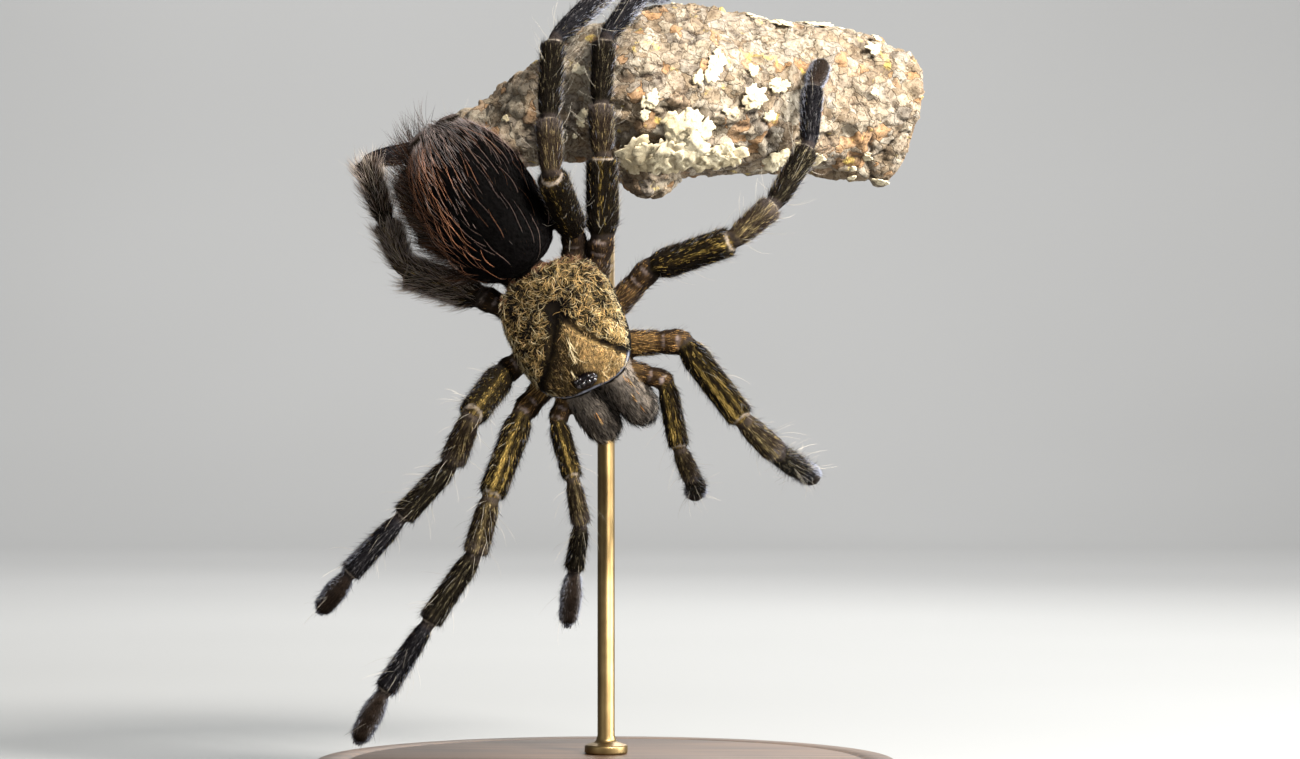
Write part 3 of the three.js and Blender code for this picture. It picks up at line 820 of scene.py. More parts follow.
def light_density(regions, t, angle):
    """Light hairs to the square millimetre at places on the body."""
    density = np.zeros(len(t))
    for name, look in MARKINGS.items():
        own = PARTS[regions] == name
        round_ = np.degrees(angle[own])
        amount = sum(hairs * bell(round_, middle, width) for middle, width, hairs in look["bands"])
        density[own] = np.maximum(amount * (1 + look["grows"] * (t[own] - 0.5)), 0)
    # The chelicerae's lit side gets more light hairs: painted light.
    return density * GILT_AND_SHADE[regions] * (1 + pale_and_lit_side(regions, angle))


def ground_colours(regions, t, angle):
    """The colour of the short dark coat at places on the body."""
    colours = np.zeros((len(t), 3))
    for name, look in MARKINGS.items():
        own = PARTS[regions] == name
        colours[own] = look["dark"]
        if look["end_from"] is not None:
            amount = smoothstep(look["end_from"], look["end_from"] + 0.3, t[own]) * END_SHARE
            colours[own] = blended(colours[own], look["end"], amount)
    # The chelicerae's lit side is painted lighter: painted light.
    colours = colours * (1 + 2.2 * pale_and_lit_side(regions, angle)[:, None])
    return blended(colours, TAUPE * 0.3, 0.8 * pale_base(regions, t))


def dark_hairs(rng, roots):
    return ground_colours(roots.regions, roots.t, roots.angle) * rng.uniform(0.5, 1.5, (roots.count, 1))


def light_hairs(rng, roots):
    # The chelicerae's lit side has paler light hairs: painted light.
    paler = 1 + 0.9 * pale_and_lit_side(roots.regions, roots.angle) + 0.7 * pale_base(roots.regions, roots.t)
    return LIGHTS[roots.regions] * rng.uniform(0.3, 1.15, (roots.count, 1)) * paler[:, None]


def from_eyes(x, y):
    """How far a place in plan is from the middle of the eyes' mound, whose edge is at 1."""
    return np.hypot((x - EYES["x"]) / EYES["length"], y / EYES["width"]) * 2


def shield_colours(colours, points, spread):
    """The carapace's skin: gold velvet on the head, painted brighter on its lit half, a grey line at its front,
    and dark round the eyes.
    """
    x, y, _ = trunk.into(points).T
    # The gold is painted brighter on the head's lit half: painted light.
    velvet = head_share(x, y) * smoothstep(2.0, 4.5, from_pit(x, y)) * (0.15 + 0.85 * head_lit_half(x, y))
    velvet = velvet * (1 - REGIONS[INDEX["carapace"]].groove(x, y)) * (1 - smoothstep(0.96, 0.975, spread))
    line = smoothstep(6.6, 7.4, x) * smoothstep(0.968, 0.976, spread) * (1 - smoothstep(0.99, 0.998, spread))
    socket = (1 - smoothstep(1.1, 1.55, from_eyes(x, y))) * (1 - line)
    colours = blended(blended(colours, GOLD * 0.4, velvet), BLUE_GREY * 1.7, line)
    return colours * (1 - 0.8 * socket[:, None])


def skin_colours(points, regions):
    """The skin's colour: ground, light bands, pale rims, dark membranes, folds and gold velvet, with painted
    light on the chelicerae and on the head.
    """
    t, angle = Skin.coordinates(points, regions)
    part = PARTS[regions]
    share = np.clip(light_density(regions, t, angle) * LIGHT_COVER, 0, 1) * SKIN_LIGHT
    colours = blended(ground_colours(regions, t, angle) * 0.7, LIGHTS[regions], share)
    rim = np.isin(part, RIMMED) * smoothstep(*RIM, t) * (1 - smoothstep(*RIM_END, t))
    fold = plate(part, t, angle) * np.clip(0.5 + 0.7 * noise(points, 0.7, 61), 0, 1)
    colours = blended(colours, MEMBRANE, membrane(part, t) * 0.7)
    colours = blended(colours, TAUPE * 0.5, rim * 0.8)
    colours = blended(colours, ROSE_GREY * 0.75, fold)
    shield = part == "carapace"
    colours[shield] = shield_colours(colours[shield], points[shield], t[shield])
    return colours * (1 + 0.25 * layered(points, 1.2, 3)[:, None])


# ---------- strands ----------

PATCH = 0.003  # the width of a strand's patch on the OFBake map
CELL_MARGIN = 0.03
SUNK = 0.03  # how far a root starts below the skin


class Strands:
    """Hairs in the making: closed three-sided spikes, with colours and places on the unwrapped skin."""

    def __init__(self):
        self.meshes, self.colours, self.places = [], [], []

    def add(self, paths, girth, normals, root_colour, tip_colour, places):
        """paths is (hairs, points, 3), from root to tip."""
        count, points, _ = paths.shape
        tangent = unit(np.gradient(paths, axis=1))
        side = unit(np.cross(normals[:, None], tangent))
        up = np.cross(tangent, side)
        s = np.linspace(0, 1, points)
        taper = (np.minimum(0.75 + 2.5 * s, 1) * np.power(1 - s, 0.55))[:-1]
        turn = np.radians((90, 210, 330))
        ring = side[:, :-1, None] * np.cos(turn)[:, None] + up[:, :-1, None] * np.sin(turn)[:, None]
        tube = paths[:, :-1, None] + ring * (girth[:, None] * taper)[:, :, None, None]
        verts = np.concatenate((tube.reshape(count, -1, 3), paths[:, -1:]), axis=1)
        along = np.append(np.repeat(s[:-1], 3), 1.0)
        colours = root_colour[:, None] + (tip_colour - root_colour)[:, None] * along[:, None]
        beside = np.append(np.tile((0.5, 1.0, 0.0), points - 1), 0.5)
        spot = np.clip(places, PATCH, 1 - PATCH)[:, None] + PATCH * (np.stack((beside, along), -1) - 0.5)
        last = 3 * (points - 2)
        tip = last + 3
        ends = ((2, 1, 0), (last, last + 1, tip), (last + 1, last + 2, tip), (last + 2, last, tip))
        tris = np.concatenate((triangles(grid_faces(points - 1, 3)), ends))
        tris = tris[None] + (np.arange(count) * verts.shape[1])[:, None, None]
        self.meshes.append((verts.reshape(-1, 3), tris.reshape(-1, 3)))
        self.colours.append(colours.reshape(-1, 3))
        self.places.append(spot.reshape(-1, 2))

    def build(self, name):
        verts, tris = joined(self.meshes)
        colours, uvs = np.concatenate(self.colours), np.concatenate(self.places)
        print("coat", name, len(tris), "triangles")
        return place(name, verts, tris, colours=colours, uvs=uvs)


def unwrapped(roots, cells):
    """The roots' places on one map, where each region named in cells has a square cell of its own."""
    wide = math.ceil(math.sqrt(len(cells)))
    places = np.zeros((roots.count, 2))
    for i, name in enumerate(cells):
        own = roots.regions == INDEX[name]
        if own.any():
            local = np.clip(REGIONS[INDEX[name]].unwrapped(roots.points[own]), 0, 1)
            local = local * (1 - 2 * CELL_MARGIN) + CELL_MARGIN
            places[own] = (local + (i % wide, i // wide)) / wide
    return places


TUFT = 0.8  # millimetres across


def hair(length, girth, tilt, points=2, sag=0.12, stray=0.12, shade=(0.75, 1.3)):
    """A kind of hair. Pairs of numbers are the ends of a range, apart from shade.

    Length and girth, which is its radius, are in millimetres, and tilt is degrees off the skin. It has so
    many points, bends towards the skin by sag, and turns from the lie of the coat by stray. shade is how
    light its root and its tip are.
    """
    return {
        "length": length, "girth": girth, "tilt": tilt, "points": points,
        "sag": sag, "stray": stray, "shade": shade,
    }


def combed(rng, roots, length, kind):
    """Paths that leave the skin at a tilt, along the lie of the coat, in tufts that lean together."""
    lie, normals = roots.lie(), roots.normals
    together = noise(roots.points, TUFT, 3)
    tilt = np.radians(rng.uniform(*kind["tilt"], roots.count) * (1 + 0.35 * together))[:, None]
    aside = rng.normal(0, kind["stray"], roots.count) + 1.4 * kind["stray"] * noise(roots.points, TUFT, 7)
    course = unit(lie * np.cos(tilt) + normals * np.sin(tilt) + np.cross(normals, lie) * aside[:, None])
    s = np.linspace(0, 1, kind["points"])[None, :, None]
    bend = (lie * 0.6 - normals)[:, None] * kind["sag"] * np.sin(tilt)[:, None]
    reach = length[:, None, None] * (course[:, None] * s + bend * s * s)
    return (roots.points - SUNK * normals)[:, None] + reach


def by_part(regions, table, default=0.0):
    """A number for each region index from a table of parts."""
    return np.array([table.get(part, default) for part in PARTS])[regions]


class Coat:
    """One piece of the coat in the making, on the regions whose names start alike."""

    def __init__(self, rng, skin, *starts):
        self.rng, self.skin, self.strands = rng, skin, Strands()
        self.cells = [region.name for region in REGIONS if region.name.startswith(starts)]
        self.part = PARTS[skin.tri_regions]
        chosen = np.isin(skin.tri_regions, [INDEX[name] for name in self.cells])
        bare = 1 - membrane(self.part, skin.t)
        self.cover = chosen * bare * (1 - 0.9 * plate(self.part, skin.t, skin.angle))

    def grow(self, density, kind, colour, scale=None, shape=None):
        """Hairs of a kind, density[i] to each square millimetre of triangle i.

        colour is a function of (rng, roots), scale of (roots), and shape of (paths, roots).
        """
        roots = self.skin.roots(self.rng, density * self.cover)
        lengths = self.rng.uniform(*kind["length"], roots.count) * (scale(roots) if scale else 1.0)
        paths = combed(self.rng, roots, lengths, kind)
        if shape:
            paths = shape(paths, roots)
        colours = colour(self.rng, roots)
        girths = self.rng.uniform(*kind["girth"], roots.count)
        root_shade, tip_shade = kind["shade"]
        places = unwrapped(roots, self.cells)
        self.strands.add(paths, girths, roots.normals, colours * root_shade, colours * tip_shade, places)

    def build(self, name):
        return self.strands.build(f"coat_{name}")


def one_of(*colours):
    """A colour function that picks each hair's colour from a few, and varies how light it is."""
    def pick(rng, roots):
        chosen = np.array(colours)[rng.integers(0, len(colours), roots.count)]
        return chosen * rng.uniform(0.5, 1.3, (roots.count, 1))
    return pick


# ---------- coat ----------

PILE_DENSITY = {
    "coxa": 24, "trochanter": 24, "femur": 46, "patella": 44, "tibia": 46, "metatarsus": 46, "tarsus": 48,
    "chelicera": 56, "abdomen": 27, "pedicel": 20, "spinneret": 24, "sternum": 18, "carapace": 0,
}
PILE_LENGTH = {
    "coxa": 1.0, "trochanter": 0.8, "femur": 1.2, "patella": 1.1,
    "tibia": 1.1, "metatarsus": 1.0, "tarsus": 0.75,
    "chelicera": 0.75, "abdomen": 0.8, "pedicel": 1.0, "spinneret": 0.35, "sternum": 1.0,
}
BRISTLE_DENSITY = {
    "coxa": 1.5, "trochanter": 1.5, "femur": 4.2, "patella": 4.0,
    "tibia": 4.2, "metatarsus": 3.8, "tarsus": 1.6,
}
SOFT_SIDED = ("coxa", "femur", "patella", "tibia", "metatarsus")
# Longer hairs on two legs: how many to the square millimetre, their length, and how light they are.
SHAGGY = {"leg_right_3": (12.0, (1.4, 3.4), 1.9), "leg_right_4": (5.5, (2.0, 4.0), 1.0)}
SHAGGY_PARTS = ("femur", "patella", "tibia")
RIM_HAIRS_FROM = (0.975, 0.985)
DOWN_DENSITY = {"femur": 0.10, "patella": 0.16, "tibia": 0.2, "metatarsus": 0.16, "tarsus": 0.06}

PILE = hair((0.7, 1.2), (0.030, 0.044), (6, 18), stray=0.06)
LIGHT = hair((0.6, 1.2), (0.019, 0.030), (10, 20), stray=0.05, shade=(0.9, 1.1))
SIDE = hair((0.8, 1.35), (0.018, 0.028), (20, 40))
BRISTLE = hair((1.0, 1.9), (0.022, 0.032), (30, 54), stray=0.2)
CROWN = hair((0.9, 1.6), (0.022, 0.032), (28, 50), stray=0.2)
DOWN = hair((3.0, 6.0), (0.012, 0.018), (45, 72), 6, 0.3, 0.3)
RIM_HAIR = hair((0.2, 0.38), (0.022, 0.032), (2, 20))
PAD = hair((0.5, 0.8), (0.028, 0.04), (30, 60), shade=(0.6, 1.3))
SHEEN = hair((1.0, 2.2), (0.018, 0.028), (12, 24), 4, 0.4)
FUZZ = hair((1.2, 2.6), (0.018, 0.026), (28, 52), 4, 0.3)
FLANK = hair((3.0, 6.5), (0.024, 0.036), (38, 74), 4, 0.25, 0.3)
STREAK = hair((0.8, 1.5), (0.022, 0.032), (8, 26), 3)
STUBBLE = hair((0.9, 1.6), (0.030, 0.042), (14, 30), 4, 0.3, 0.2)
BEARD = hair((1.0, 2.1), (0.020, 0.030), (18, 44), 4, 0.3, 0.2)
BROW = hair((0.8, 1.4), (0.022, 0.032), (14, 34), 3, stray=0.2)
CHEEK = hair((0.6, 1.1), (0.016, 0.024), (24, 45), 3)


def trimmed(roots):
    """The length of the coat by part, cut short where a segment ends so that its joint shows."""
    near_end = smoothstep(0.86, 0.975, roots.t) * (1 - smoothstep(0.995, 1.02, roots.t))
    near_end = near_end * np.isin(PARTS[roots.regions], RIMMED)
    return by_part(roots.regions, PILE_LENGTH, 0.8) * (1 - 0.78 * near_end)


def pile(coat):
    """The short coat that covers everything: dark, and light in the bands of the markings."""
    skin = coat.skin
    light = light_density(skin.tri_regions, skin.t, skin.angle)
    hidden = np.clip(light * LIGHT_COVER * 1.5, 0, 0.8)
    density = by_part(skin.tri_regions, PILE_DENSITY) * (1 - hidden)
    coat.grow(density, PILE, dark_hairs, trimmed)
    coat.grow(1.25 * light, LIGHT, light_hairs, trimmed)


def rim_colours(rng, roots):
    gold = np.isin(PARTS[roots.regions], ("femur", "trochanter"))[:, None]
    return np.where(gold, GOLD * (0.4, 0.36, 0.36), TAUPE * 0.5) * rng.uniform(0.3, 1.1, (roots.count, 1))


def wavy(rng, size, waves):
    """A shape for hairs that wander to and fro off the skin."""
    def shape(paths, roots):
        s = np.linspace(0, waves, paths.shape[1])[None, :, None]
        return paths + roots.normals[:, None] * np.sin(s) * rng.normal(0, size, (roots.count, 1, 1))
    return shape


def limb_coat(rng, skin, limb):
    """All the hair of one limb: pile, soft sides, standing bristles, long pale down, rims, and foot pads, whose
    blue-grey is partly a painted sheen.
    """
    coat = Coat(rng, skin, limb)
    pile(coat)
    part, t, degrees = coat.part, skin.t, np.abs(np.degrees(skin.angle))
    at_rim = np.isin(part, RIMMED)
    inland = 1 - smoothstep(0.93, 0.98, t) * at_rim
    sides = 11 * bell(degrees, 92, 34) * inland * np.isin(part, SOFT_SIDED)
    coat.grow(sides, SIDE, one_of(BLUE_GREY * 1.8, TAUPE * (0.6, 0.6, 0.45), BROWN * 1.5), trimmed)
    bristles = by_part(skin.tri_regions, BRISTLE_DENSITY) * (0.5 + 0.7 * bell(degrees, 90, 50)) * inland
    coat.grow(bristles, BRISTLE, one_of(CHARCOAL, UMBER))
    coat.grow(4 * (at_rim * bell(t, 0.93, 0.035)), CROWN, one_of(CHARCOAL))
    down = by_part(skin.tri_regions, DOWN_DENSITY)
    coat.grow(down, DOWN, one_of(PALE_HAIR * 0.8), shape=wavy(rng, 0.12, 5))
    coat.grow(40 * (at_rim * smoothstep(*RIM_HAIRS_FROM, t)), RIM_HAIR, rim_colours)
    if limb in SHAGGY:
        density, length, light = SHAGGY[limb]
        shaggy = density * inland * np.isin(part, SHAGGY_PARTS)
        browns = one_of(TAUPE * 0.6 * light, BROWN * 1.3 * light, MAUVE * light)
        coat.grow(shaggy, hair(length, (0.020, 0.030), (25, 55), 3, 0.3, 0.25), browns)
    beneath = smoothstep(40, 80, degrees)
    foot = (part == "tarsus") * np.maximum(beneath, smoothstep(0.86, 0.95, t)) * 40
    shin = (part == "metatarsus") * beneath * smoothstep(0.35, 0.6, t) * 24
    # The pads' blue-grey is partly their own grey hair and partly a painted sheen.
    coat.grow(foot + shin, PAD, one_of(BLUE_GREY * 1.9))
    return coat.build(limb)


def sac_paths(rng, roots, length, points, lift):
    """Paths that follow the abdomen's curve from their roots back towards the spinnerets."""
    sac = REGIONS[INDEX["abdomen"]]
    s = np.linspace(0, 1, points)[None]
    reach = np.minimum(length / sac.length, np.maximum(0.965 - roots.t, 0.04))
    t = roots.t[:, None] + reach[:, None] * s
    drift, wave = rng.normal(0, 0.07, (roots.count, 1)), rng.normal(0, 0.008, (roots.count, 1))
    angle = roots.angle[:, None] + (drift * s + wave * np.sin(6 * s))
    rise = -0.1 + lift[:, None] * np.sin(np.minimum(s * 1.15, 1) * math.pi * 0.8)
    return sac.point(t, angle, rise)


def spaced(points, apart):
    """Which of the points to keep so that none lies nearer to one before it than its own distance apart."""
    kept = []
    for i, point in enumerate(points):
        near = np.linalg.norm(points[kept] - point, axis=1) < apart[i]
        if not near.any():
            kept.append(i)
    return np.array(kept)


def abdomen_velvet(rng, skin):
    """Black velvet, mauve-grey sheen over its rear, and longer brown fuzz towards the spider's right."""
    coat = Coat(rng, skin, "abdomen", "pedicel", "spinneret")
    pile(coat)
    sac = coat.part == "abdomen"
    rightward = smoothstep(0.4, 1.0, -np.sin(skin.angle))
    rearward = smoothstep(0.35, 0.8, skin.t)
    streak = 2.0 * rearward * bell(np.degrees(skin.angle), -30, 40)
    sheen = sac * (streak + 8.0 * smoothstep(0.74, 0.92, skin.t))
    coat.grow(sheen, SHEEN, one_of(ROSE_GREY * 0.8, SLATE * 0.8))
    fuzz = sac * (0.03 + 0.3 * rightward + 2.5 * smoothstep(0.72, 0.95, skin.t))
    coat.grow(fuzz, FUZZ, one_of(BROWN * 0.8, MAUVE, UMBER))
    flank = sac * bell(np.degrees(skin.angle), -104, 24) * smoothstep(0.02, 0.15, skin.t)
    coat.grow(13.0 * flank, FLANK, one_of(BROWN * 0.5, MAUVE * 0.4, RUST * 0.2, UMBER))
    return coat.build("abdomen_velvet")


LOCK = {"points": 14, "length": (3.0, 7.0), "lift": (0.4, 0.9), "girth": (0.013, 0.021), "shade": (0.6, 1.2)}


def abdomen_locks(rng, skin):
    """Long russet and mauve hairs over the velvet, evenly spaced, closest on the right and the rear."""
    coat = Coat(rng, skin, "abdomen")
    roots = skin.roots(rng, 8.0 * coat.cover * (1 - smoothstep(0.80, 0.88, skin.t)))
    rightward = smoothstep(-0.35, 0.8, -np.sin(roots.angle))
    rearward = smoothstep(0.1, 0.75, roots.t)
    front = 1 - smoothstep(0.02, 0.3, roots.t)
    apart = 0.9 + 1.7 * (1 - rightward) * (1 - 0.75 * rearward) + 0.8 * front - 0.3 * rearward
    roots = roots.only(spaced(roots.points, apart + 0.3 * rng.random(roots.count)))
    length = rng.uniform(*LOCK["length"], roots.count)
    paths = sac_paths(rng, roots, length, LOCK["points"], rng.uniform(*LOCK["lift"], roots.count))
    warm = smoothstep(-0.3, 0.8, -np.sin(roots.angle))[:, None]
    russet = rng.random((roots.count, 1)) < 0.3 + 0.6 * warm
    colours = np.where(russet, RUST * (1.5 + 0.5 * warm), ROSE_GREY * (1.15, 1.0, 0.9))
    colours = colours * rng.uniform(0.15, 1.25, (roots.count, 1))
    girth = rng.uniform(*LOCK["girth"], roots.count)
    root_shade, tip_shade = LOCK["shade"]
    places = unwrapped(roots, coat.cells)
    coat.strands.add(paths, girth, roots.normals, colours * root_shade, colours * tip_shade, places)
    return coat.build("abdomen_locks")


def curled(length, girth, lift, points=2, shade=(0.75, 1.1), wave=0.0, all_over=False):
    """A kind of carapace hair. It rises by lift, and stays off the grooves unless it grows all over."""
    return {
        "length": length, "girth": girth, "lift": lift, "points": points, "shade": shade, "wave": wave,
        "all_over": all_over,
    }


GROUND = curled((0.4, 0.8), (0.030, 0.044), (0.12, 0.34), all_over=True)
VELVET = curled((0.45, 0.8), (0.036, 0.052), (0.06, 0.2))
HEAD_BRISTLE = curled((0.45, 0.75), (0.026, 0.036), (0.2, 0.36))
FINE_WOOL = curled((0.5, 1.0), (0.016, 0.024), (0.12, 0.34), 6, (0.5, 1.25), 0.4)
LONG_WOOL = curled((0.9, 1.9), (0.019, 0.030), (0.12, 0.34), 6, (0.5, 1.25), 0.4)
REAR_FRINGE = curled((1.1, 2.4), (0.028, 0.040), (0.1, 0.5), 7)
SIDE_FRINGE = curled((0.7, 1.5), (0.028, 0.040), (0.04, 0.16), 7)
CREST = curled((1.4, 2.6), (0.020, 0.030), (0.3, 0.55), 6)
SHIELD_EDGE = 0.985  # the spread that hair on the carapace keeps within
VELVET_EDGE = 0.966
WOOL_EDGE = 0.97


class Shield:
    """Hair on the carapace, laid out in plan in the trunk's frame."""

    def __init__(self, rng):
        self.rng, self.region, self.strands = rng, REGIONS[INDEX["carapace"]], Strands()

    def scattered(self, density, where, edge=SHIELD_EDGE, grooves=1.0):
        """Places in plan, density to each square millimetre, thinned by a function of the place."""
        count = int(density * self.region.length * self.region.width)
        x = self.rng.uniform(-0.5, 0.54, count) * self.region.length
        y = self.rng.uniform(-0.5, 0.5, count) * self.region.width
        _, spread = self.region.plan(x, y)
        share = where(x, y) * (1 - grooves * self.region.groove(x, y))
        keep = (spread < edge) & (self.rng.random(count) < share)
        return x[keep], y[keep]

    def paths(self, x, y, course, curl, length, lift, points, wave):
        """Hairs that start on a course, curl and wave as they go, and which of them stay off the grooves."""
        step = (length / (points - 1))[:, None]
        s = np.linspace(0, 1, points)[None]
        phase = 6.0 * plan_noise(x, y, 0.7, 37)[:, None]
        turn = course[:, None] + curl[:, None] * s + wave * (np.sin(phase + 5.5 * s) - np.sin(phase))
        xs = x[:, None] + np.cumsum(np.cos(turn) * step, axis=1) - np.cos(turn[:, :1]) * step
        ys = y[:, None] + np.cumsum(np.sin(turn) * step, axis=1) - np.sin(turn[:, :1]) * step
        _, spread = self.region.plan(xs, ys)
        inside = np.where(spread > SHIELD_EDGE, SHIELD_EDGE / np.maximum(spread, 1e-6), 1)
        xs, ys = xs * (0.35 + 0.65 * inside), ys * (0.35 + 0.65 * inside)
        rise = -0.06 + lift[:, None] * np.sin(np.linspace(0.0, 2.2, points))[None]
        z = self.region.top(xs * inside, ys * inside) + rise - np.maximum(spread - SHIELD_EDGE, 0) * 6
        in_pit = 1 - smoothstep(0.5, 1.0, from_pit(xs, ys))
        crossed = np.maximum(self.region.groove(xs, ys), in_pit).max(axis=1)
        return trunk.out(np.stack((xs, ys, z), -1)), crossed < 0.72

    def grow(self, x, y, course, curl, kind, colours):
        """Hairs of a kind. course and curl are an angle for each."""
        count = len(x)
        length = self.rng.uniform(*kind["length"], count)
        lift = self.rng.uniform(*kind["lift"], count)
        paths, clear = self.paths(x, y, course, curl, length, lift, kind["points"], kind["wave"])
        clear = clear | kind["all_over"]
        angle, spread = self.region.plan(x, y)
        points = trunk.out(np.stack((x, y, self.region.top(x, y)), -1))
        normals = np.broadcast_to(trunk.axes[2], points.shape)
        roots = Roots(points, normals, np.full(count, INDEX["carapace"]), spread, angle).only(clear)
        girths = self.rng.uniform(*kind["girth"], count)[clear]
        root_colours, tip_colours = (colours[clear] * shade for shade in kind["shade"])
        places = unwrapped(roots, ["carapace"])
        self.strands.add(paths[clear], girths, roots.normals, root_colours, tip_colours, places)


def head_share(x, y):
    """1 on the raised head between the two long grooves, 0 on the chest behind them."""
    bearing = np.arctan2(np.abs(y), x - FOVEA["x"])
    return 1 - smoothstep(math.radians(27), math.radians(36), bearing + 0.08 * plan_noise(x, y, 1.0, 21))


def head_lit_half(x, y):
    """1 on the half of the head that faces the lamps, the spider's left, falling to 0 on the other. The velvet
    is painted brighter and more gold on that half and darker on the other: painted light and shade.
    """
    return smoothstep(-0.5, 1.2, y + 0.5 * plan_noise(x, y, 1.0, 22))


def from_pit(x, y):
    return np.hypot(x - FOVEA["x"], y)


def clear_of_eyes(x, y):
    return smoothstep(1.2, 1.6, from_eyes(x, y))


def plan_noise(x, y, size, seed):
    return noise(np.stack((x, y, np.zeros_like(x)), -1), size, seed)


def tinted(rng, count, first, second, share, spread=(0.45, 1.2)):
    """Colours of which a share are the first and the rest the second, each more or less light."""
    return np.where(rng.random((count, 1)) < share, first, second) * rng.uniform(*spread, (count, 1))


def carapace_ground(rng):
    """The carapace's short coat: green-black all over and darker in the grooves and the pit, and gold velvet on
    the head, painted brighter on its left, the side that faces the lamps.
    """
    shield = Shield(rng)

    def off_pit(x, y):
        return clear_of_eyes(x, y) * smoothstep(0.3, 0.6, from_pit(x, y))

    def on_head(x, y):
        return head_share(x, y) * clear_of_eyes(x, y)

    def on_velvet(x, y):
        return on_head(x, y) * smoothstep(2.0, 4.5, from_pit(x, y))

    x, y = shield.scattered(60, off_pit, grooves=0.0)
    course = np.arctan2(y, x - FOVEA["x"]) + rng.normal(0, 0.7, len(x)) * smoothstep(1.0, 2.5, from_pit(x, y))
    # The ground coat is darker in the grooves and the pit: partly their own dark colour and partly painted
    # shade.
    shaded = np.maximum(shield.region.groove(x, y), 1 - smoothstep(1.0, 2.0, from_pit(x, y)))[:, None]
    colours = tinted(rng, len(x), OLIVE_GOLD * 0.35, CHARCOAL * 1.3, 0.18 * (1 - shaded)) * (1 - 0.6 * shaded)
    shield.grow(x, y, course, 0 * x, GROUND, colours)

    x, y = shield.scattered(130, on_velvet, VELVET_EDGE)
    # left is how far a place lies on the head's lit half. The velvet there is kept thicker, more gold and
    # brighter as painted light, and the other half is darker as painted shade.
    left = head_lit_half(x, y)
    keep = rng.random(len(x)) < 0.4 + 0.6 * left
    x, y, left = x[keep], y[keep], left[keep]
    course = np.arctan2(-0.6 * y, 4.0) + 0.5 * plan_noise(x, y, 0.9, 13) + rng.normal(0, 0.15, len(x))
    colours = tinted(rng, len(x), GOLD * (1.25, 1.3, 1.5), UMBER * 2, 0.3 + 0.62 * left[:, None], (0.6, 1.1))
    colours = colours * (1 + 0.2 * plan_noise(x, y, 0.7, 14)[:, None]) * (0.65 + 0.6 * left[:, None])
    shield.grow(x, y, course, 0 * x, VELVET, colours)

    x, y = shield.scattered(7, on_head, VELVET_EDGE)
    course = np.arctan2(-0.6 * y, 4.0) + rng.normal(0, 0.3, len(x))
    shield.grow(x, y, course, 0 * x, HEAD_BRISTLE, tinted(rng, len(x), UMBER, CHARCOAL, 0.5))
    return shield.strands.build("coat_carapace_ground")


SWIRL = {"x": 3.9, "y": 5.0, "radius": 1.5, "width": 0.9}


def in_swirl(x, y):
    """1 on a ring near the front corner of the chest on the spider's left, 0 elsewhere."""
    return bell(np.hypot(x - SWIRL["x"], y - SWIRL["y"]), SWIRL["radius"], SWIRL["width"])


def whorled(x, y, course, curl, rng):
    """Courses and curls, bent into arcs round the swirl."""
    cx, cy = x - SWIRL["x"], y - SWIRL["y"]
    inside = in_swirl(x, y) * smoothstep(-1.2, 0.6, cy) > 0.35
    round_ = np.arctan2(cy, cx) - math.pi / 2 + rng.normal(0, 0.14, len(x))
    return np.where(inside, round_, course), np.where(inside, -1.1, curl), inside


def on_chest(x, y):
    """How thick the wool is at a place: in locks on the chest, thick in the swirl, thin on the head, and
    thicker on the spider's left, the side that faces the lamps, where its pale curls paint light.
    """
    locks = smoothstep(-0.6, 0.5, plan_noise(x, y, 0.9, 5))
    # side makes the pale wool thicker towards the lamps: painted light.
    side = 0.75 + 0.25 * smoothstep(-2.0, 2.0, y)
    head = head_share(x, y)
    share = (1 - 0.85 * head) * (0.5 + 0.5 * locks) * side + 0.9 * in_swirl(x, y) * (1 - head)
    pit = smoothstep(0.6, 1.6, from_pit(x, y) + 0.7 * plan_noise(x, y, 0.7, 33))
    return share * pit * clear_of_eyes(x, y) * 0.5


def wool(rng, shield):
    """Fine and long curls over the chest."""
    for density, kind, first, second, share in (
        (44, FINE_WOOL, OLIVE_GOLD, GOLD * 0.8, 0.6),
        (13, LONG_WOOL, CREAM * 1.08, GOLD, 0.5),
    ):
        x, y = shield.scattered(density, on_chest, WOOL_EDGE)
        course = np.arctan2(y, x - FOVEA["x"]) + 3.4 * plan_noise(x, y, 1.2, 9) + rng.normal(0, 0.4, len(x))
        curl = np.sign(plan_noise(x, y, 1.0, 19)) * rng.uniform(0.0, 1.8, len(x))
        course, curl, inside = whorled(x, y, course, curl, rng)
        # light grows towards the spider's left, the side that faces the lamps, as painted light; its noise and
        # the swirl are the wool's own colour.
        light = 0.8 + 0.34 * smoothstep(-1.5, 2.5, y) + 0.4 * plan_noise(x, y, 1.3, 15) + 0.25 * inside
        colours = tinted(rng, len(x), first, second, share, (0.15, 1.15)) * light[:, None]
        shield.grow(x, y, course, curl, kind, colours)


def fringe(rng, shield, count=560):
    """Hairs along the edge: long and russet behind, short and pale at the sides."""
    angle = rng.uniform(math.radians(GROOVE["bearing"]), math.pi, count) * rng.choice((-1, 1), count)
    region = shield.region
    reach = np.interp(np.abs(angle), region.angles, region.reach) * rng.uniform(0.9, SHIELD_EDGE, count)
    x, y = reach * np.cos(angle) * region.length, reach * np.sin(angle) * region.width
    behind = smoothstep(math.radians(105), math.radians(150), np.abs(angle))
    hand = np.sign(y)
    course = angle - hand * (1.2 - 0.95 * behind) + rng.normal(0, 0.5, count)
    curl = hand * rng.uniform(0.1, 0.9, count)
    colours = tinted(rng, count, RUST, CREAM * 0.9, behind[:, None] * 0.85, (0.35, 1.1))
    for own, kind in ((behind > 0.5, REAR_FRINGE), (behind <= 0.5, SIDE_FRINGE)):
        shield.grow(x[own], y[own], course[own], curl[own], kind, colours[own])


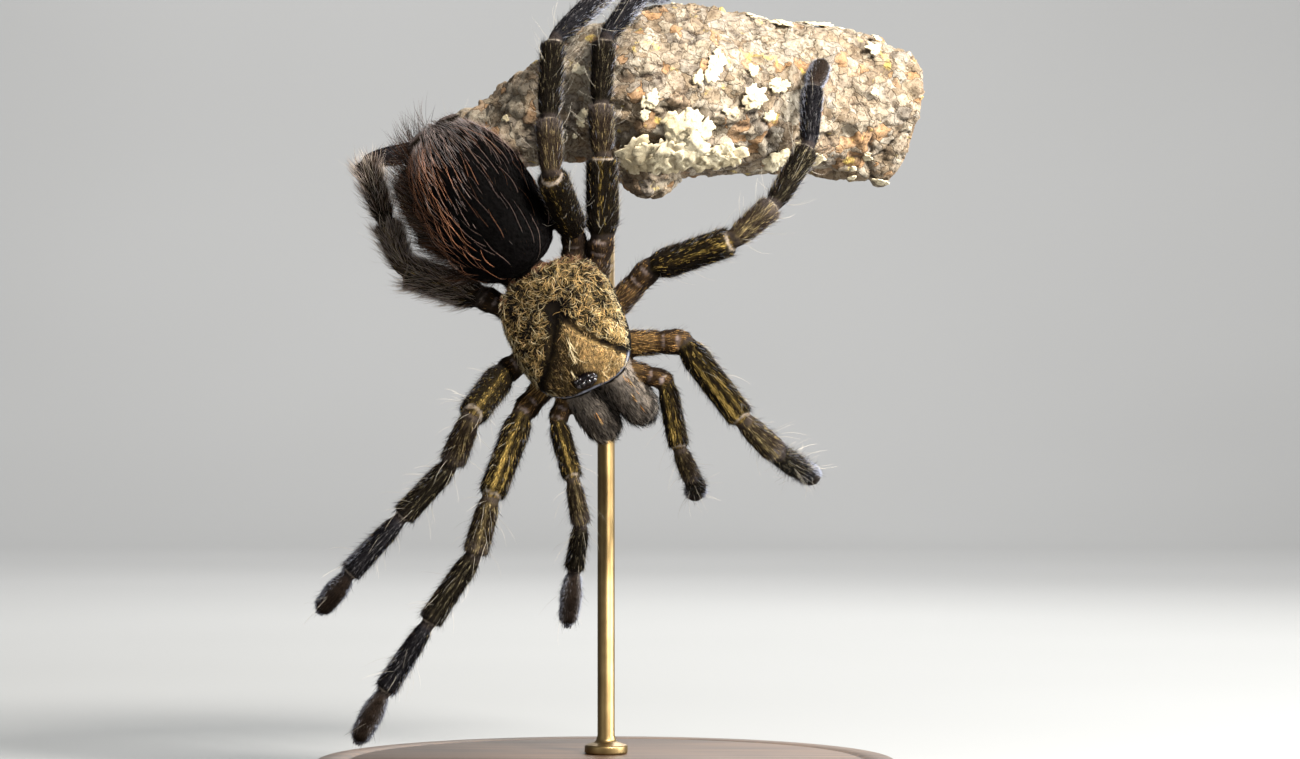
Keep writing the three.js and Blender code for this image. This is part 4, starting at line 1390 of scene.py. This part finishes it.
def crest(rng, shield):
    """A few pale hairs along the middle of the head, and some beside the eyes."""
    for start, end, aside, count in ((1.6, 7.2, 0.1, 15), (6.0, 7.9, -1.5, 4)):
        x = rng.uniform(start, end - 1.8, count)
        y = aside + rng.normal(0, 0.22, count)
        colours = tinted(rng, count, CREAM, GOLD, 0.9, (0.8, 1.08))
        shield.grow(x, y, rng.normal(0.04, 0.13, count), rng.normal(0, 0.4, count), CREST, colours)


def carapace_wool(rng):
    shield = Shield(rng)
    wool(rng, shield)
    fringe(rng, shield)
    crest(rng, shield)
    return shield.strands.build("coat_carapace_wool")


def face_coat(rng, skin):
    """The chelicerae: short grey-brown hair, thin gold streaks down the front, and bristles at the tip."""
    coat = Coat(rng, skin, "chelicera")
    pile(coat)
    degrees = np.degrees(skin.angle)
    middle = smoothstep(0.42, 0.5, skin.t) * (1 - smoothstep(0.62, 0.72, skin.t))
    outer = bell(skin.t, 0.3, 0.1) * (skin.tri_regions == INDEX["chelicera_left"])
    streak = bell(degrees + 10 * skin.t, -6, 4) * middle + bell(degrees, -30, 4) * outer
    coat.grow(14 * streak, STREAK, one_of(GOLD, GOLD * (1, 0.7, 0.5)))
    coat.grow(6.0 * smoothstep(0.1, 0.3, skin.t), STUBBLE, one_of(CHARCOAL, UMBER))
    coat.grow(6.5 * smoothstep(0.55, 0.85, skin.t), BEARD, one_of(CHARCOAL, UMBER, CHARCOAL, TAUPE * 0.5))
    coat.grow(14.0 * pale_base(skin.tri_regions, skin.t), BROW, one_of(TAN * 0.6, TAUPE * 0.6, BROWN))
    beside = bell(np.abs(degrees), 95, 35) * smoothstep(0.08, 0.2, skin.t)
    coat.grow(5.0 * beside, CHEEK, one_of(TAUPE * 0.5, SLATE * 0.8))
    return coat.build("chelicerae")


def underside_coat(rng, skin):
    coat = Coat(rng, skin, "sternum")
    pile(coat)
    return coat.build("sternum")


# ---------- eyes, fangs and claws ----------


# Each pair's place forward of and beside the mound's middle, and its radius.
EYE_PAIRS = ((0.35, 0.4, 0.36), (0.45, 1.15, 0.36), (-0.35, 0.62, 0.26), (-0.25, 1.25, 0.32))
EYE_GRID = (18, 28)
MOUND_GRID = (40, 64)
SPIKE_GRID = (22, 20)


def eyes():
    """Four pairs of eyes in two rows, on one dark mound that rises a little round each eye."""
    half = np.array((EYES["length"] / 2, EYES["width"] / 2, EYES["height"]))
    p, quads = sphere(*MOUND_GRID)
    mound = p * half * (1 + 0.03 * layered(p * 3, 1.0, 3)[:, None]) + (EYES["x"], 0, EYES["z"])
    ball, ball_quads = sphere(*EYE_GRID)
    balls = []
    for (x, y, radius), side in itertools.product(EYE_PAIRS, (1, -1)):
        level = EYES["height"] * math.sqrt(1 - (x / half[0]) ** 2 - (y / half[1]) ** 2)
        at = np.array((EYES["x"] + x, side * y, EYES["z"] + level))
        balls.append((trunk.out(at + radius * ball), ball_quads))
        away = np.hypot(mound[:, 0] - EYES["x"] - x, mound[:, 1] - side * y)
        mound[:, 2] += 0.1 * bell(away, radius * 1.25, radius * 0.35) * (p[:, 2] > 0)
    lenses = welded(place("eyes_lenses", *joined(balls)))
    return lenses, welded(place("eyes_mound", trunk.out(mound), quads))


def bent_spikes(starts, name):
    """Tapered spikes bent round an arc. Each start is (place, forward, down, sizes)."""
    made = []
    rows, columns = SPIKE_GRID
    s = np.linspace(0, 1, rows)[:, None]
    ring = np.linspace(0, 2 * math.pi, columns, endpoint=False)[None]
    for at, forward, downward, sizes in starts:
        turn = math.radians(sizes["sweep"]) * s
        beside = np.cross(forward, downward)
        thick = sizes["radius"] * np.where(s < 0.999, (1 - 0.93 * s**1.3), 0.02)
        thick = np.where(s <= 0, 0, thick)
        reach = sizes["bend"] - np.cos(ring) * thick
        x, z = -reach * np.sin(turn), reach * np.cos(turn) - sizes["bend"]
        y = np.sin(ring) * thick * np.ones_like(x)
        path = at - x[..., None] * forward - z[..., None] * downward + y[..., None] * beside
        made.append((path.reshape(-1, 3), grid_faces(rows, columns)))
    return welded(place(name, *joined(made)))


def fangs():
    """Each fang folds back below its chelicera, as in the part."""
    starts = []
    for side in (1, -1):
        at = on_side(CHELICERA["root"], side) + CHELICERA_AIM * (CHELICERA["length"] - FANG["back"])
        at = trunk.out(at + (FANG["bend"] / 2, side * FANG["side"], -FANG["below"]))
        starts.append((at, -trunk.axes[0], -trunk.axes[2], FANG))
    return bent_spikes(starts, "fangs")


CLAW = {"radius": 0.09, "bend": 0.55, "sweep": 105, "apart": 0.42, "from_tip": 0.35, "up": 0.35}


def claws():
    """A pair of hooked claws at the end of each foot, half hidden in its tufts."""
    starts = []
    for limb in LIMBS:
        foot = REGIONS[INDEX[f"{limb}_tarsus"]]
        for side in (1, -1):
            at = foot.start + foot.axis * (foot.length - CLAW["from_tip"]) + foot.side * side * CLAW["apart"]
            starts.append((at + foot.back * CLAW["up"], foot.axis, -foot.back, CLAW))
    return bent_spikes(starts, "claws")


# ---------- perch ----------

PERCH_VOXEL = 0.3
LINE_STEPS = 240
BRANCH_LENGTH = 66.0
BRANCH_SIDES = 72
KNOB_GRID = (24, 32)
BARK_DEPTH = {"branch": 0.45, "knob": 0.5}  # how far below the CAD surface the bark's relief starts
RING_SPAN = 12.0  # the radius at which the sawn ends' ring pattern reaches 1
AT_ONCE = 4000  # points whose nearest place on the line is looked for at a time


class Branch:
    """The branch's middle line, with the place of any point along and round it."""

    def __init__(self):
        points = np.array([at for at, _ in PERCH], float)
        ends = np.concatenate((2 * points[:1] - points[1:2], points, 2 * points[-1:] - points[-2:-1]))
        t = np.linspace(0, len(points) - 1, LINE_STEPS)
        i = np.minimum(t.astype(int), len(points) - 2)
        u = (t - i)[:, None]
        self.line = spline(*(ends[i + k] for k in range(4)), u)
        self.share = t / (len(points) - 1)
        self.girth = np.interp(t, np.arange(len(points)), [radius for _, radius in PERCH])
        self.along = unit(np.gradient(self.line, axis=0))
        self.up = unit(np.array((0, 0, 1.0)) - self.along[:, 2:] * self.along)
        self.out = np.cross(self.along, self.up)

    @staticmethod
    def ridges(angle, share):
        return 1 + 0.035 * np.sin(3 * angle + 9 * share) + 0.02 * np.sin(5 * angle - 14 * share)

    def point(self, share, angle, lift=0.0):
        i = np.clip(np.round(np.asarray(share) * (LINE_STEPS - 1)).astype(int), 0, LINE_STEPS - 1)
        r = (self.girth[i] * self.ridges(angle, share) + lift)[..., None]
        round_ = np.cos(angle)[..., None] * self.out[i] + np.sin(angle)[..., None] * self.up[i]
        return self.line[i] + r * round_, round_, self.along[i]

    def tube(self):
        share = np.repeat(self.share[:, None], BRANCH_SIDES, 1)
        angle = np.linspace(0, 2 * math.pi, BRANCH_SIDES, endpoint=False)
        points, _, _ = self.point(share, np.repeat(angle[None], LINE_STEPS, 0), -BARK_DEPTH["branch"])
        start, end = (np.broadcast_to(self.line[i], (1, BRANCH_SIDES, 3)) for i in (0, -1))
        rows = np.concatenate((start, points, end))
        return rows.reshape(-1, 3), grid_faces(len(rows), BRANCH_SIDES)

    def coordinates(self, points):
        """Share along the line, angle round it, and distance from it."""
        nearest = np.empty(len(points), int)
        for start in range(0, len(points), AT_ONCE):
            away = points[start : start + AT_ONCE, None] - self.line[None]
            nearest[start : start + AT_ONCE] = np.argmin(np.sum(away**2, axis=-1), axis=1)
        rel = points - self.line[nearest]
        x, y = dot(rel, self.out[nearest])[:, 0], dot(rel, self.up[nearest])[:, 0]
        return self.share[nearest], np.arctan2(y, x), np.hypot(x, y)


branch = Branch()


def bark_relief(points, long):
    """Height of the bark in millimetres, and how deep in a crevice each place is."""
    grain = np.stack((long * 0.6, points[:, 1], points[:, 2]), -1)
    lumps = 0.4 * layered(points, 5.0, 2, 11)
    scales = np.tanh(6 * layered(grain, 2.4, 2, 3)) * 0.38
    flakes = np.tanh(7 * layered(points, 1.3, 2, 5)) * 0.2
    seams = np.abs(layered(grain, 4.2, 2, 17))
    crack = (1 - smoothstep(0.0, 0.06, seams)) * smoothstep(-0.3, 0.3, noise(points, 6.0, 19))
    fine = np.abs(noise(grain, 1.5, 23))
    checks = (1 - smoothstep(0.0, 0.12, fine)) * smoothstep(-0.3, 0.3, noise(points, 3.0, 27))
    crust = 0.16 * layered(points, 0.8, 2, 29)
    relief = lumps + scales + flakes + crust - 0.45 * crack - 0.25 * checks
    return relief, np.clip(0.8 * crack + checks * 0.6, 0, 1)


def knob_shell():
    points, quads = sphere(*KNOB_GRID)
    return np.array(KNOB["at"]) + (KNOB["radius"] - BARK_DEPTH["knob"]) * points, quads


def perch():
    """The branch with its bark, and growth rings on its sawn ends."""
    points, quads = remeshed([branch.tube(), knob_shell()], PERCH_VOXEL, 4, "perch_union")
    normals = vertex_normals(points, quads)
    share, _, radius = branch.coordinates(points)
    ends = np.abs(dot(normals, np.where(share[:, None] < 0.5, branch.along[:1], branch.along[-1:])))[:, 0]
    at_end = (share < 0.012) | (share > 0.988)
    sawn = smoothstep(0.6, 0.9, ends) * at_end
    relief, crack = bark_relief(points, share * BRANCH_LENGTH)
    growth = 0.05 * np.sin(radius * 7 + 1.5 * noise(points, 4.0, 41)) + 0.05 * layered(points, 1.0, 3, 43)
    points = points + normals * (relief * (1 - sawn) + growth * sawn)[:, None]
    obj = place("perch_bark", points, quads)
    paint(obj.data, "bark", np.stack((crack * (1 - sawn), sawn, radius / RING_SPAN), -1))
    return obj


# How many waves run round a flake's edge, and their height.
LOBES = ((2, 0.16), (3, 0.16), (5, 0.13), (9, 0.10), (14, 0.06))
FLAKE_GRID = (4, 40)


def flake(rng, at, out, along, size):
    """A lobed scale of lichen, held at its middle, with its rim curled off the bark."""
    rows, columns = FLAKE_GRID
    v = np.linspace(0, 2 * math.pi, columns, endpoint=False)
    phase = rng.uniform(0, 2 * math.pi, len(LOBES))
    edge = 1 + sum(height * np.sin(waves * v + p) for (waves, height), p in zip(LOBES, phase))
    s = np.linspace(0, 1, rows)[:, None]
    x, y = s * edge * np.cos(v) * size * rng.uniform(0.8, 1.25), s * edge * np.sin(v) * size
    curl = size * rng.uniform(0.02, 0.10)
    ripple = 0.03 * size * s**2 * np.sin(7 * v + phase[3])
    lift = 0.12 + curl * s**2 * (1 + 0.8 * np.sin(2 * v + phase[1])) + ripple
    side = np.cross(out, along)
    thick = 0.07 + 0.05 * (1 - s)
    flat = at + x[..., None] * along + y[..., None] * side
    top, bottom = (flat + z[..., None] * out for z in (lift + thick, lift - thick))
    return np.concatenate((top, bottom[::-1])).reshape(-1, 3), grid_faces(2 * rows, columns)


# Where lichen grows: share along the branch, degrees round it, the spread of both, how many, and their size.
LICHEN = (
    (0.545, 227, (0.010, 3), 2, (2.6, 3.2)),
    (0.50, 226, (0.012, 3), 2, (2.6, 3.4)),
    (0.455, 228, (0.015, 4), 2, (2.2, 2.8)),
    (0.515, 210, (0.02, 5), 3, (1.6, 2.2)),
    (0.47, 190, (0.07, 22), 9, (0.7, 1.4)),
    (0.42, 185, (0.006, 2), 1, (1.4, 1.6)),
    (0.33, 224, (0.03, 8), 4, (1.0, 1.8)),
    (0.22, 195, (0.09, 40), 5, (0.6, 1.2)),
    (0.10, 200, (0.05, 40), 4, (0.5, 1.1)),
    (0.24, 100, (0.03, 8), 4, (1.0, 1.8)),
    (0.50, 60, (0.25, 70), 13, (0.6, 1.5)),
    (0.72, 190, (0.07, 50), 7, (0.4, 0.9)),
)
# From how many flakes up to but not including how many, how far they reach, and their share of the size.
ROSETTE = {"flakes": (3, 6), "reach": 0.7, "share": (0.5, 0.85)}


def rosette(rng, share, degrees, size):
    """Flakes round a middle that overlap like shingles, each smaller than the whole."""
    flakes = []
    for _ in range(rng.integers(*ROSETTE["flakes"])):
        away = rng.normal(0, ROSETTE["reach"] * size / 2, 2)
        s = np.array(np.clip(share + away[0] / BRANCH_LENGTH, 0.015, 0.985))
        angle = np.array(math.radians(degrees) + away[1] / 10)
        at, out, along = branch.point(s, angle, 0.05)
        out = unit(out + rng.normal(0, 0.10, 3))
        along = unit(across(along + rng.normal(0, 0.8, 3), out))
        flakes.append(flake(rng, at, out, along, size * rng.uniform(*ROSETTE["share"])))
    return flakes


def lichen(rng):
    flakes = []
    for share, degrees, (along_spread, round_spread), count, size in LICHEN:
        for _ in range(count):
            at = rng.normal(share, along_spread), rng.normal(degrees, round_spread)
            flakes += rosette(rng, *at, rng.uniform(*size))
    return welded(place("perch_lichen", *joined(flakes)))


# ---------- stand ----------


def arc(centre, radius, start, end, steps):
    """Points (r, z) of an arc, in degrees from the r axis."""
    angles = np.radians(np.linspace(start, end, steps))
    return [(centre[0] + radius * math.cos(a), centre[1] + radius * math.sin(a)) for a in angles]


def stand():
    """A turned wooden disc with a cove in its side and a groove in its top, and a brass rod in a collar."""
    radius, height, bevel = BASE["radius"], BASE["height"], BASE["bevel"]
    plinth = [(0, 0), (radius - bevel, 0)]
    plinth += arc((radius - bevel, bevel), bevel, -90, 0, 6)
    plinth += arc((radius + 0.2, height * 0.52), 0.55, 260, 100, 8)
    plinth += arc((radius - 0.9, height - 0.9), 0.9, 0, 90, 8)
    plinth += [(radius - 4.0, height), (radius - 4.3, height - 0.25), (radius - 4.9, height - 0.25)]
    plinth += [(radius - 5.2, height), (COLLAR["radius"] * 0.8, height), (0, height)]
    base = welded(place("stand_plinth", *revolved(plinth, 160)))
    (_, _, above), girth = PERCH[OVER_ROD]
    top = above - girth + ROD["into_perch"]
    rod, collar, neck = ROD["radius"], COLLAR["radius"], height + COLLAR["height"]
    stem = [(0, height), (collar - 0.3, height)]
    stem += arc((collar - 0.3, height + 0.3), 0.3, -90, 0, 5)
    stem += arc((collar - 0.35, height + 0.95), 0.35, 0, 90, 5)
    stem += arc((rod + 0.9, neck + 0.1), 0.8, 270, 180, 8)
    stem += [(rod, neck + 0.4), (rod, top), (0, top)]
    verts, faces = revolved(stem, 64)
    metal = welded(place("stand_stem", verts + (ROD["x"], ROD["y"], 0), faces))
    return base, metal


# ---------- materials ----------


class Shader:
    """A Principled material, and short ways to add nodes to it."""

    def __init__(self, name, **values):
        self.material = bpy.data.materials.new(name)
        self.material.use_nodes = True
        self.tree = self.material.node_tree
        self.surface = self.tree.nodes["Principled BSDF"]
        for socket, value in values.items():
            self.surface.inputs[socket.replace("_", " ")].default_value = value

    def node(self, kind, links=None, **settings):
        """Adds a node. Settings are its properties or input values, and links join inputs to outputs."""
        node = self.tree.nodes.new("ShaderNode" + kind)
        for key, value in settings.items():
            if hasattr(node, key):
                setattr(node, key, value)
            else:
                node.inputs[key.replace("_", " ")].default_value = value
        for socket, output in (links or {}).items():
            self.tree.links.new(output, node.inputs[socket])
        return node

    def link(self, output, socket):
        self.tree.links.new(output, self.surface.inputs[socket])

    def coordinates(self):
        return self.node("TexCoord").outputs["Object"]

    def noise(self, scale, detail=4.0, roughness=0.55, vector=None):
        links = {"Vector": vector or self.coordinates()}
        return self.node("TexNoise", links, Scale=scale, Detail=detail, Roughness=roughness).outputs["Fac"]

    def cells(self, scale, vector=None, **settings):
        vector = vector or self.coordinates()
        return self.node("TexVoronoi", {"Vector": vector}, Scale=per_mm(scale), **settings)

    def stretched(self, *scale):
        """Coordinates scaled by an amount along each axis."""
        node = self.node("Mapping", {"Vector": self.coordinates()})
        node.inputs["Scale"].default_value = scale
        return node.outputs[0]

    def warped(self, amount, scale):
        """Coordinates pushed about by noise, up to an amount in millimetres."""
        push = self.node("TexNoise", {"Vector": self.coordinates()}, Scale=scale, Detail=3.0).outputs["Color"]
        push = self.node("VectorMath", {0: push}, operation="SCALE", Scale=amount * MM).outputs[0]
        return self.node("VectorMath", {0: self.coordinates(), 1: push}, operation="ADD").outputs[0]

    def ramp(self, factor, *stops):
        """Colours at places from 0 to 1."""
        node = self.node("ValToRGB", {"Fac": factor})
        elements = node.color_ramp.elements
        while len(elements) < len(stops):
            elements.new(0.5)
        for element, (at, colour) in zip(elements, stops):
            element.position = at
            element.color = (*colour, 1.0)
        return node.outputs["Color"]

    def mixed(self, factor, a, b, blend="MIX"):
        """Two colours blended. Each value is a node's output, or a plain colour or number."""
        node = self.node("Mix", data_type="RGBA", blend_type=blend)
        for socket, value in ((node.inputs[0], factor), (node.inputs[6], a), (node.inputs[7], b)):
            if isinstance(value, bpy.types.NodeSocket):
                self.tree.links.new(value, socket)
            elif socket.type == "RGBA":
                socket.default_value = (*value, 1.0)
            else:
                socket.default_value = value
        return node.outputs[2]

    def bump(self, height, strength, distance):
        """distance is in millimetres."""
        node = self.node("Bump", {"Height": height}, Strength=strength, Distance=distance * MM)
        self.link(node.outputs["Normal"], "Normal")

    def tint(self, name="tint"):
        return self.node("Attribute", attribute_name=name).outputs["Color"]


def per_mm(scale):
    """A texture scale from features to the millimetre, as the coordinates are in metres."""
    return scale / MM


def mottled(name, scale, detail, low, high, tinted=False, bump=None, **values):
    """A shader whose colour follows noise, from low to high, both (share, colour).

    A tinted one multiplies the vertex colours. bump is (scale, detail, strength, distance) of finer noise.
    """
    shader = Shader(name, **values)
    colour = shader.ramp(shader.noise(per_mm(scale), detail), low, high)
    if tinted:
        colour = shader.mixed(1.0, shader.tint(), colour, "MULTIPLY")
    shader.link(colour, "Base Color")
    if bump:
        fine, fine_detail, strength, distance = bump
        shader.bump(shader.noise(per_mm(fine), fine_detail), strength, distance)
    return shader


def coat_material(name, roughness, specular):
    low, high = (0.3, (0.8, 0.8, 0.8)), (0.7, (1.15, 1.12, 1.08))
    values = {"Roughness": roughness, "Specular_IOR_Level": specular}
    return mottled(name, 0.6, 2.0, low, high, tinted=True, **values).material


def skin_material():
    """Cuticle under the coat, with a dimple for every short hair."""
    low, high = (0.3, (0.65, 0.65, 0.66)), (0.75, (1.3, 1.25, 1.2))
    shader = mottled("skin", 1.5, 5.0, low, high, tinted=True, Roughness=0.85, Specular_IOR_Level=0.03)
    shader.bump(shader.cells(5.0).outputs["Distance"], 0.6, 0.06)
    return shader.material


def eye_material():
    low, high = (0.35, (0.0025, 0.0012, 0.0012)), (0.7, (0.006, 0.002, 0.002))
    return mottled("eye", 2.0, 2.0, low, high, Roughness=0.05, Specular_IOR_Level=0.7).material


def mound_material():
    low, high = (0.35, (0.0012, 0.0008, 0.0010)), (0.7, (0.0030, 0.0014, 0.0016))
    return mottled("mound", 1.5, 2.0, low, high, Roughness=0.24, Specular_IOR_Level=0.25).material


def horn_material():
    """Fangs and claws: black, with a deep red cast."""
    low, high = (0.3, (0.005, 0.004, 0.004)), (0.75, (0.020, 0.008, 0.006))
    bump = (3.5, 4.0, 0.35, 0.05)
    return mottled("horn", 1.2, 3.0, low, high, bump=bump, Roughness=0.25, Specular_IOR_Level=0.4).material


CRUST = (
    (0.32, (0.042, 0.030, 0.020)), (0.43, (0.15, 0.105, 0.065)), (0.51, (0.20, 0.15, 0.096)),
    (0.58, (0.255, 0.21, 0.15)), (0.68, (0.29, 0.255, 0.20)),
)
SCALES = (
    (0.0, (0.12, 0.084, 0.056)), (0.2, (0.26, 0.195, 0.125)), (0.42, (0.22, 0.20, 0.175)),
    (0.62, (0.30, 0.25, 0.18)), (0.82, (0.36, 0.325, 0.26)), (0.93, (0.32, 0.16, 0.06)),
)
YOLK = (0.44, 0.32, 0.07)
# The crevices' dark colour is partly the bark's own and partly painted shade.
CREVICE = (0.045, 0.032, 0.024)
SAWN = ((0.3, (0.19, 0.12, 0.068)), (0.7, (0.27, 0.185, 0.112)))
DARK_RING = (0.085, 0.048, 0.026)
RING_WAVES = 95.0
CLEAR = (1.0, 1.0, 1.0)


def sawn_wood(shader, radius):
    """Wood with dark growth rings."""
    wood = shader.ramp(shader.noise(per_mm(0.5), 4.0), *SAWN)
    rings = shader.node("Math", {0: radius}, operation="MULTIPLY")
    rings.inputs[1].default_value = RING_WAVES
    wave = shader.node("Math", {0: rings.outputs[0]}, operation="SINE").outputs[0]
    ring = shader.node("MapRange", {"Value": wave}, From_Min=0.2, From_Max=1.0, To_Min=0.0, To_Max=0.55)
    return shader.mixed(ring.outputs[0], wood, DARK_RING)


def bark_material():
    """Grey crust and tan scales with dark rims, specks, yellow spots and black cracks; wood on sawn ends. The
    dark rims and cracks lie in the hollows of the relief and are partly painted shade.
    """
    shader = Shader("bark", Roughness=0.92, Specular_IOR_Level=0.2)
    crack, sawn, radius = shader.node("SeparateColor", {"Color": shader.tint("bark")}).outputs
    crust = shader.ramp(shader.noise(per_mm(0.5), 8.0, 0.72), *CRUST)
    ragged = shader.warped(3.2, per_mm(0.5))
    pick = shader.node("SeparateColor", {"Color": shader.cells(0.5, ragged).outputs["Color"]}).outputs[0]
    crust = shader.mixed(0.5, crust, shader.ramp(pick, *SCALES))
    rims = shader.cells(0.5, ragged, feature="DISTANCE_TO_EDGE").outputs["Distance"]
    # Darker rims round the scales, where the bump sinks: partly painted shade.
    rims = shader.ramp(rims, (0.0, (0.22, 0.17, 0.13)), (0.08, CLEAR))
    crust = shader.mixed(0.5, crust, rims, "MULTIPLY")
    specks = shader.ramp(shader.noise(per_mm(1.8), 6.0, 0.75), (0.38, (0.25, 0.19, 0.14)), (0.48, CLEAR))
    crust = shader.mixed(0.8, crust, specks, "MULTIPLY")
    yolk = shader.ramp(shader.noise(per_mm(0.4), 3.0), (0.64, (0.0, 0.0, 0.0)), (0.70, (0.6, 0.6, 0.6)))
    # Cracks painted dark: partly painted shade.
    crust = shader.mixed(crack, shader.mixed(yolk, crust, YOLK), CREVICE)
    shader.link(shader.mixed(sawn, crust, sawn_wood(shader, radius)), "Base Color")
    shader.bump(shader.mixed(0.35, shader.noise(per_mm(1.3), 10.0, 0.72), rims), 0.9, 0.5)
    return shader.material


def lichen_material():
    shader = Shader("lichen", Roughness=0.9, Specular_IOR_Level=0.2)
    stops = (0.3, (0.38, 0.30, 0.17)), (0.5, (0.50, 0.43, 0.29)), (0.75, (0.58, 0.51, 0.37))
    colour = shader.ramp(shader.noise(per_mm(0.16), 5.0, 0.65), *stops)
    specks = shader.ramp(shader.noise(per_mm(2.6), 4.0), (0.3, (0.55, 0.48, 0.40)), (0.45, CLEAR))
    shader.link(shader.mixed(0.7, colour, specks, "MULTIPLY"), "Base Color")
    shader.bump(shader.noise(per_mm(2.2), 8.0, 0.7), 0.6, 0.25)
    return shader.material


def walnut_material():
    shader = Shader("walnut", Roughness=0.55, Specular_IOR_Level=0.25)
    grain = shader.noise(per_mm(0.55), 8.0, 0.6, shader.stretched(0.08, 1.0, 1.0))
    stops = (0.3, (0.018, 0.010, 0.006)), (0.5, (0.050, 0.027, 0.015)), (0.7, (0.095, 0.052, 0.028))
    shader.link(shader.ramp(grain, *stops), "Base Color")
    shader.bump(grain, 0.12, 0.1)
    return shader.material


def brass_material():
    low, high = (0.3, (0.13, 0.085, 0.035)), (0.7, (0.22, 0.15, 0.065))
    shader = mottled("brass", 0.25, 3.0, low, high, Metallic=1.0, Roughness=0.42)
    shader.bump(shader.noise(per_mm(8.0), 3.0, 0.5, shader.stretched(1.0, 1.0, 0.05)), 0.06, 0.05)
    return shader.material


# ---------- the model ----------


def finish_piece(obj, material, slot, *nodes):
    """Gives a piece its material and its body, and hides the nodes that it replaces. Its slot is not used."""
    obj.data.materials.clear()
    obj.data.materials.append(material)
    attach(obj, "root")
    if nodes:
        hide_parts(*nodes)
    return obj


FLESH = [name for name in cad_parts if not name.startswith(("stand_", "perch", "fang_", "eyes"))]


def dress():
    """Makes every piece, and says its material and the nodes that it replaces."""
    skin = Skin()
    print("skin", len(skin.tris), "triangles", round(skin.areas.sum()), "mm2")
    body = place("skin", skin.points, skin.quads, colours=skin_colours(skin.points, skin.regions))
    finish_piece(body, skin_material(), "underside", *FLESH)
    rng = np.random.default_rng(SEED)
    coat = coat_material("coat", 0.7, 0.03)
    velvet = coat_material("velvet", 0.8, 0.0)
    for limb in LIMBS:
        finish_piece(limb_coat(rng, skin, limb), coat, "limb_coat")
    finish_piece(abdomen_velvet(rng, skin), velvet, "abdomen_coat")
    finish_piece(abdomen_locks(rng, skin), coat, "abdomen_coat")
    finish_piece(carapace_ground(rng), coat, "carapace_coat")
    finish_piece(carapace_wool(rng), coat, "carapace_coat")
    finish_piece(face_coat(rng, skin), coat, "chelicera_coat")
    finish_piece(underside_coat(rng, skin), coat, "underside")
    lenses, mound = eyes()
    horn = horn_material()
    finish_piece(lenses, eye_material(), "horn")
    finish_piece(mound, mound_material(), "horn", "eyes")
    finish_piece(fangs(), horn, "horn", "fang_left", "fang_right")
    finish_piece(claws(), horn, "horn")
    finish_piece(perch(), bark_material(), "bark", "perch")
    finish_piece(lichen(rng), lichen_material(), "bark")
    plinth, stem = stand()
    finish_piece(plinth, walnut_material(), "base_wood", "stand_base")
    finish_piece(stem, brass_material(), "brass", "stand_rod")


# ---------- camera, floor and light ----------

CAMERA = {"at": (6.1, -608.0, 57.0), "lens": 122.95, "sensor": 36.0}
CLIP = (0.01, 20)  # metres
FLOOR = {"half_width": 2200.0, "front": -1600.0, "back": 900.0, "curve": 400.0, "height": 2000.0}
SPIDER = (-2, -4, 75)
WALL = (0, 1250, 120)
# Each lamp's place, size, watts, colour, and what it is aimed at.
LAMPS = {
    "key": ((300, -380, 420), 150, 15.0, (1.0, 0.97, 0.92), SPIDER),
    "fill": ((-420, -380, 160), 420, 0.8, (0.92, 0.97, 1.0), SPIDER),
    "side": ((460, -40, 150), 260, 7.5, (0.93, 0.97, 1.0), SPIDER),
    "back": ((120, 420, 380), 320, 2.8, (1.0, 1.0, 0.97), SPIDER),
    "wall": ((0, 600, 700), 600, 13.0, (1.0, 1.0, 1.0), WALL),
}
SKY = {"colour": (0.92, 0.95, 1.0, 1), "strength": 0.20}


def camera():
    """A long lens that looks level at the front of the model."""
    data = bpy.data.cameras.new("camera")
    data.lens, data.sensor_width = CAMERA["lens"], CAMERA["sensor"]
    data.clip_start, data.clip_end = CLIP
    obj = bpy.data.objects.new("camera", data)
    bpy.context.scene.collection.objects.link(obj)
    obj.location = Vector(CAMERA["at"]) * MM
    obj.rotation_euler = (math.radians(90), 0, 0)
    bpy.context.scene.camera = obj


def backdrop():
    """A pale floor that curves up into a wall far behind."""
    bend = arc((0, 0), FLOOR["curve"], -90, 0, 24)
    profile = [(FLOOR["front"], 0)]
    profile += [(FLOOR["back"] + y, FLOOR["curve"] + z) for y, z in bend]
    profile += [(FLOOR["back"] + FLOOR["curve"], FLOOR["height"])]
    rows = [((-FLOOR["half_width"], y, z), (FLOOR["half_width"], y, z)) for y, z in profile]
    floor = place("floor", np.array(rows).reshape(-1, 3), grid_faces(len(rows), 2, wrap=False))
    shader = Shader("paper", Roughness=0.9, Specular_IOR_Level=0.1)
    low, high = (0.3, (0.225, 0.225, 0.222)), (0.7, (0.245, 0.245, 0.242))
    shader.link(shader.ramp(shader.noise(3.0, 2.0), low, high), "Base Color")
    floor.data.materials.append(shader.material)


def lamp(name, at, size, watts, colour, aim):
    """A square area light at a place in millimetres, turned towards another."""
    data = bpy.data.lights.new(name, "AREA")
    data.size, data.energy, data.color = size * MM, watts, colour
    obj = bpy.data.objects.new(name, data)
    bpy.context.scene.collection.objects.link(obj)
    obj.location = Vector(at) * MM
    obj.rotation_euler = (Vector(aim) - Vector(at)).to_track_quat("-Z", "Y").to_euler()


def lights():
    """Soft lamps round the spider, one on the wall behind it, and a faint even light from all round."""
    for name, values in LAMPS.items():
        lamp(name, *values)
    world = bpy.data.worlds.new("studio")
    world.use_nodes = True
    background = world.node_tree.nodes["Background"]
    background.inputs["Color"].default_value = SKY["colour"]
    background.inputs["Strength"].default_value = SKY["strength"]
    bpy.context.scene.world = world
    bpy.context.scene.view_settings.view_transform = "Standard"


camera()
backdrop()
lights()
dress()
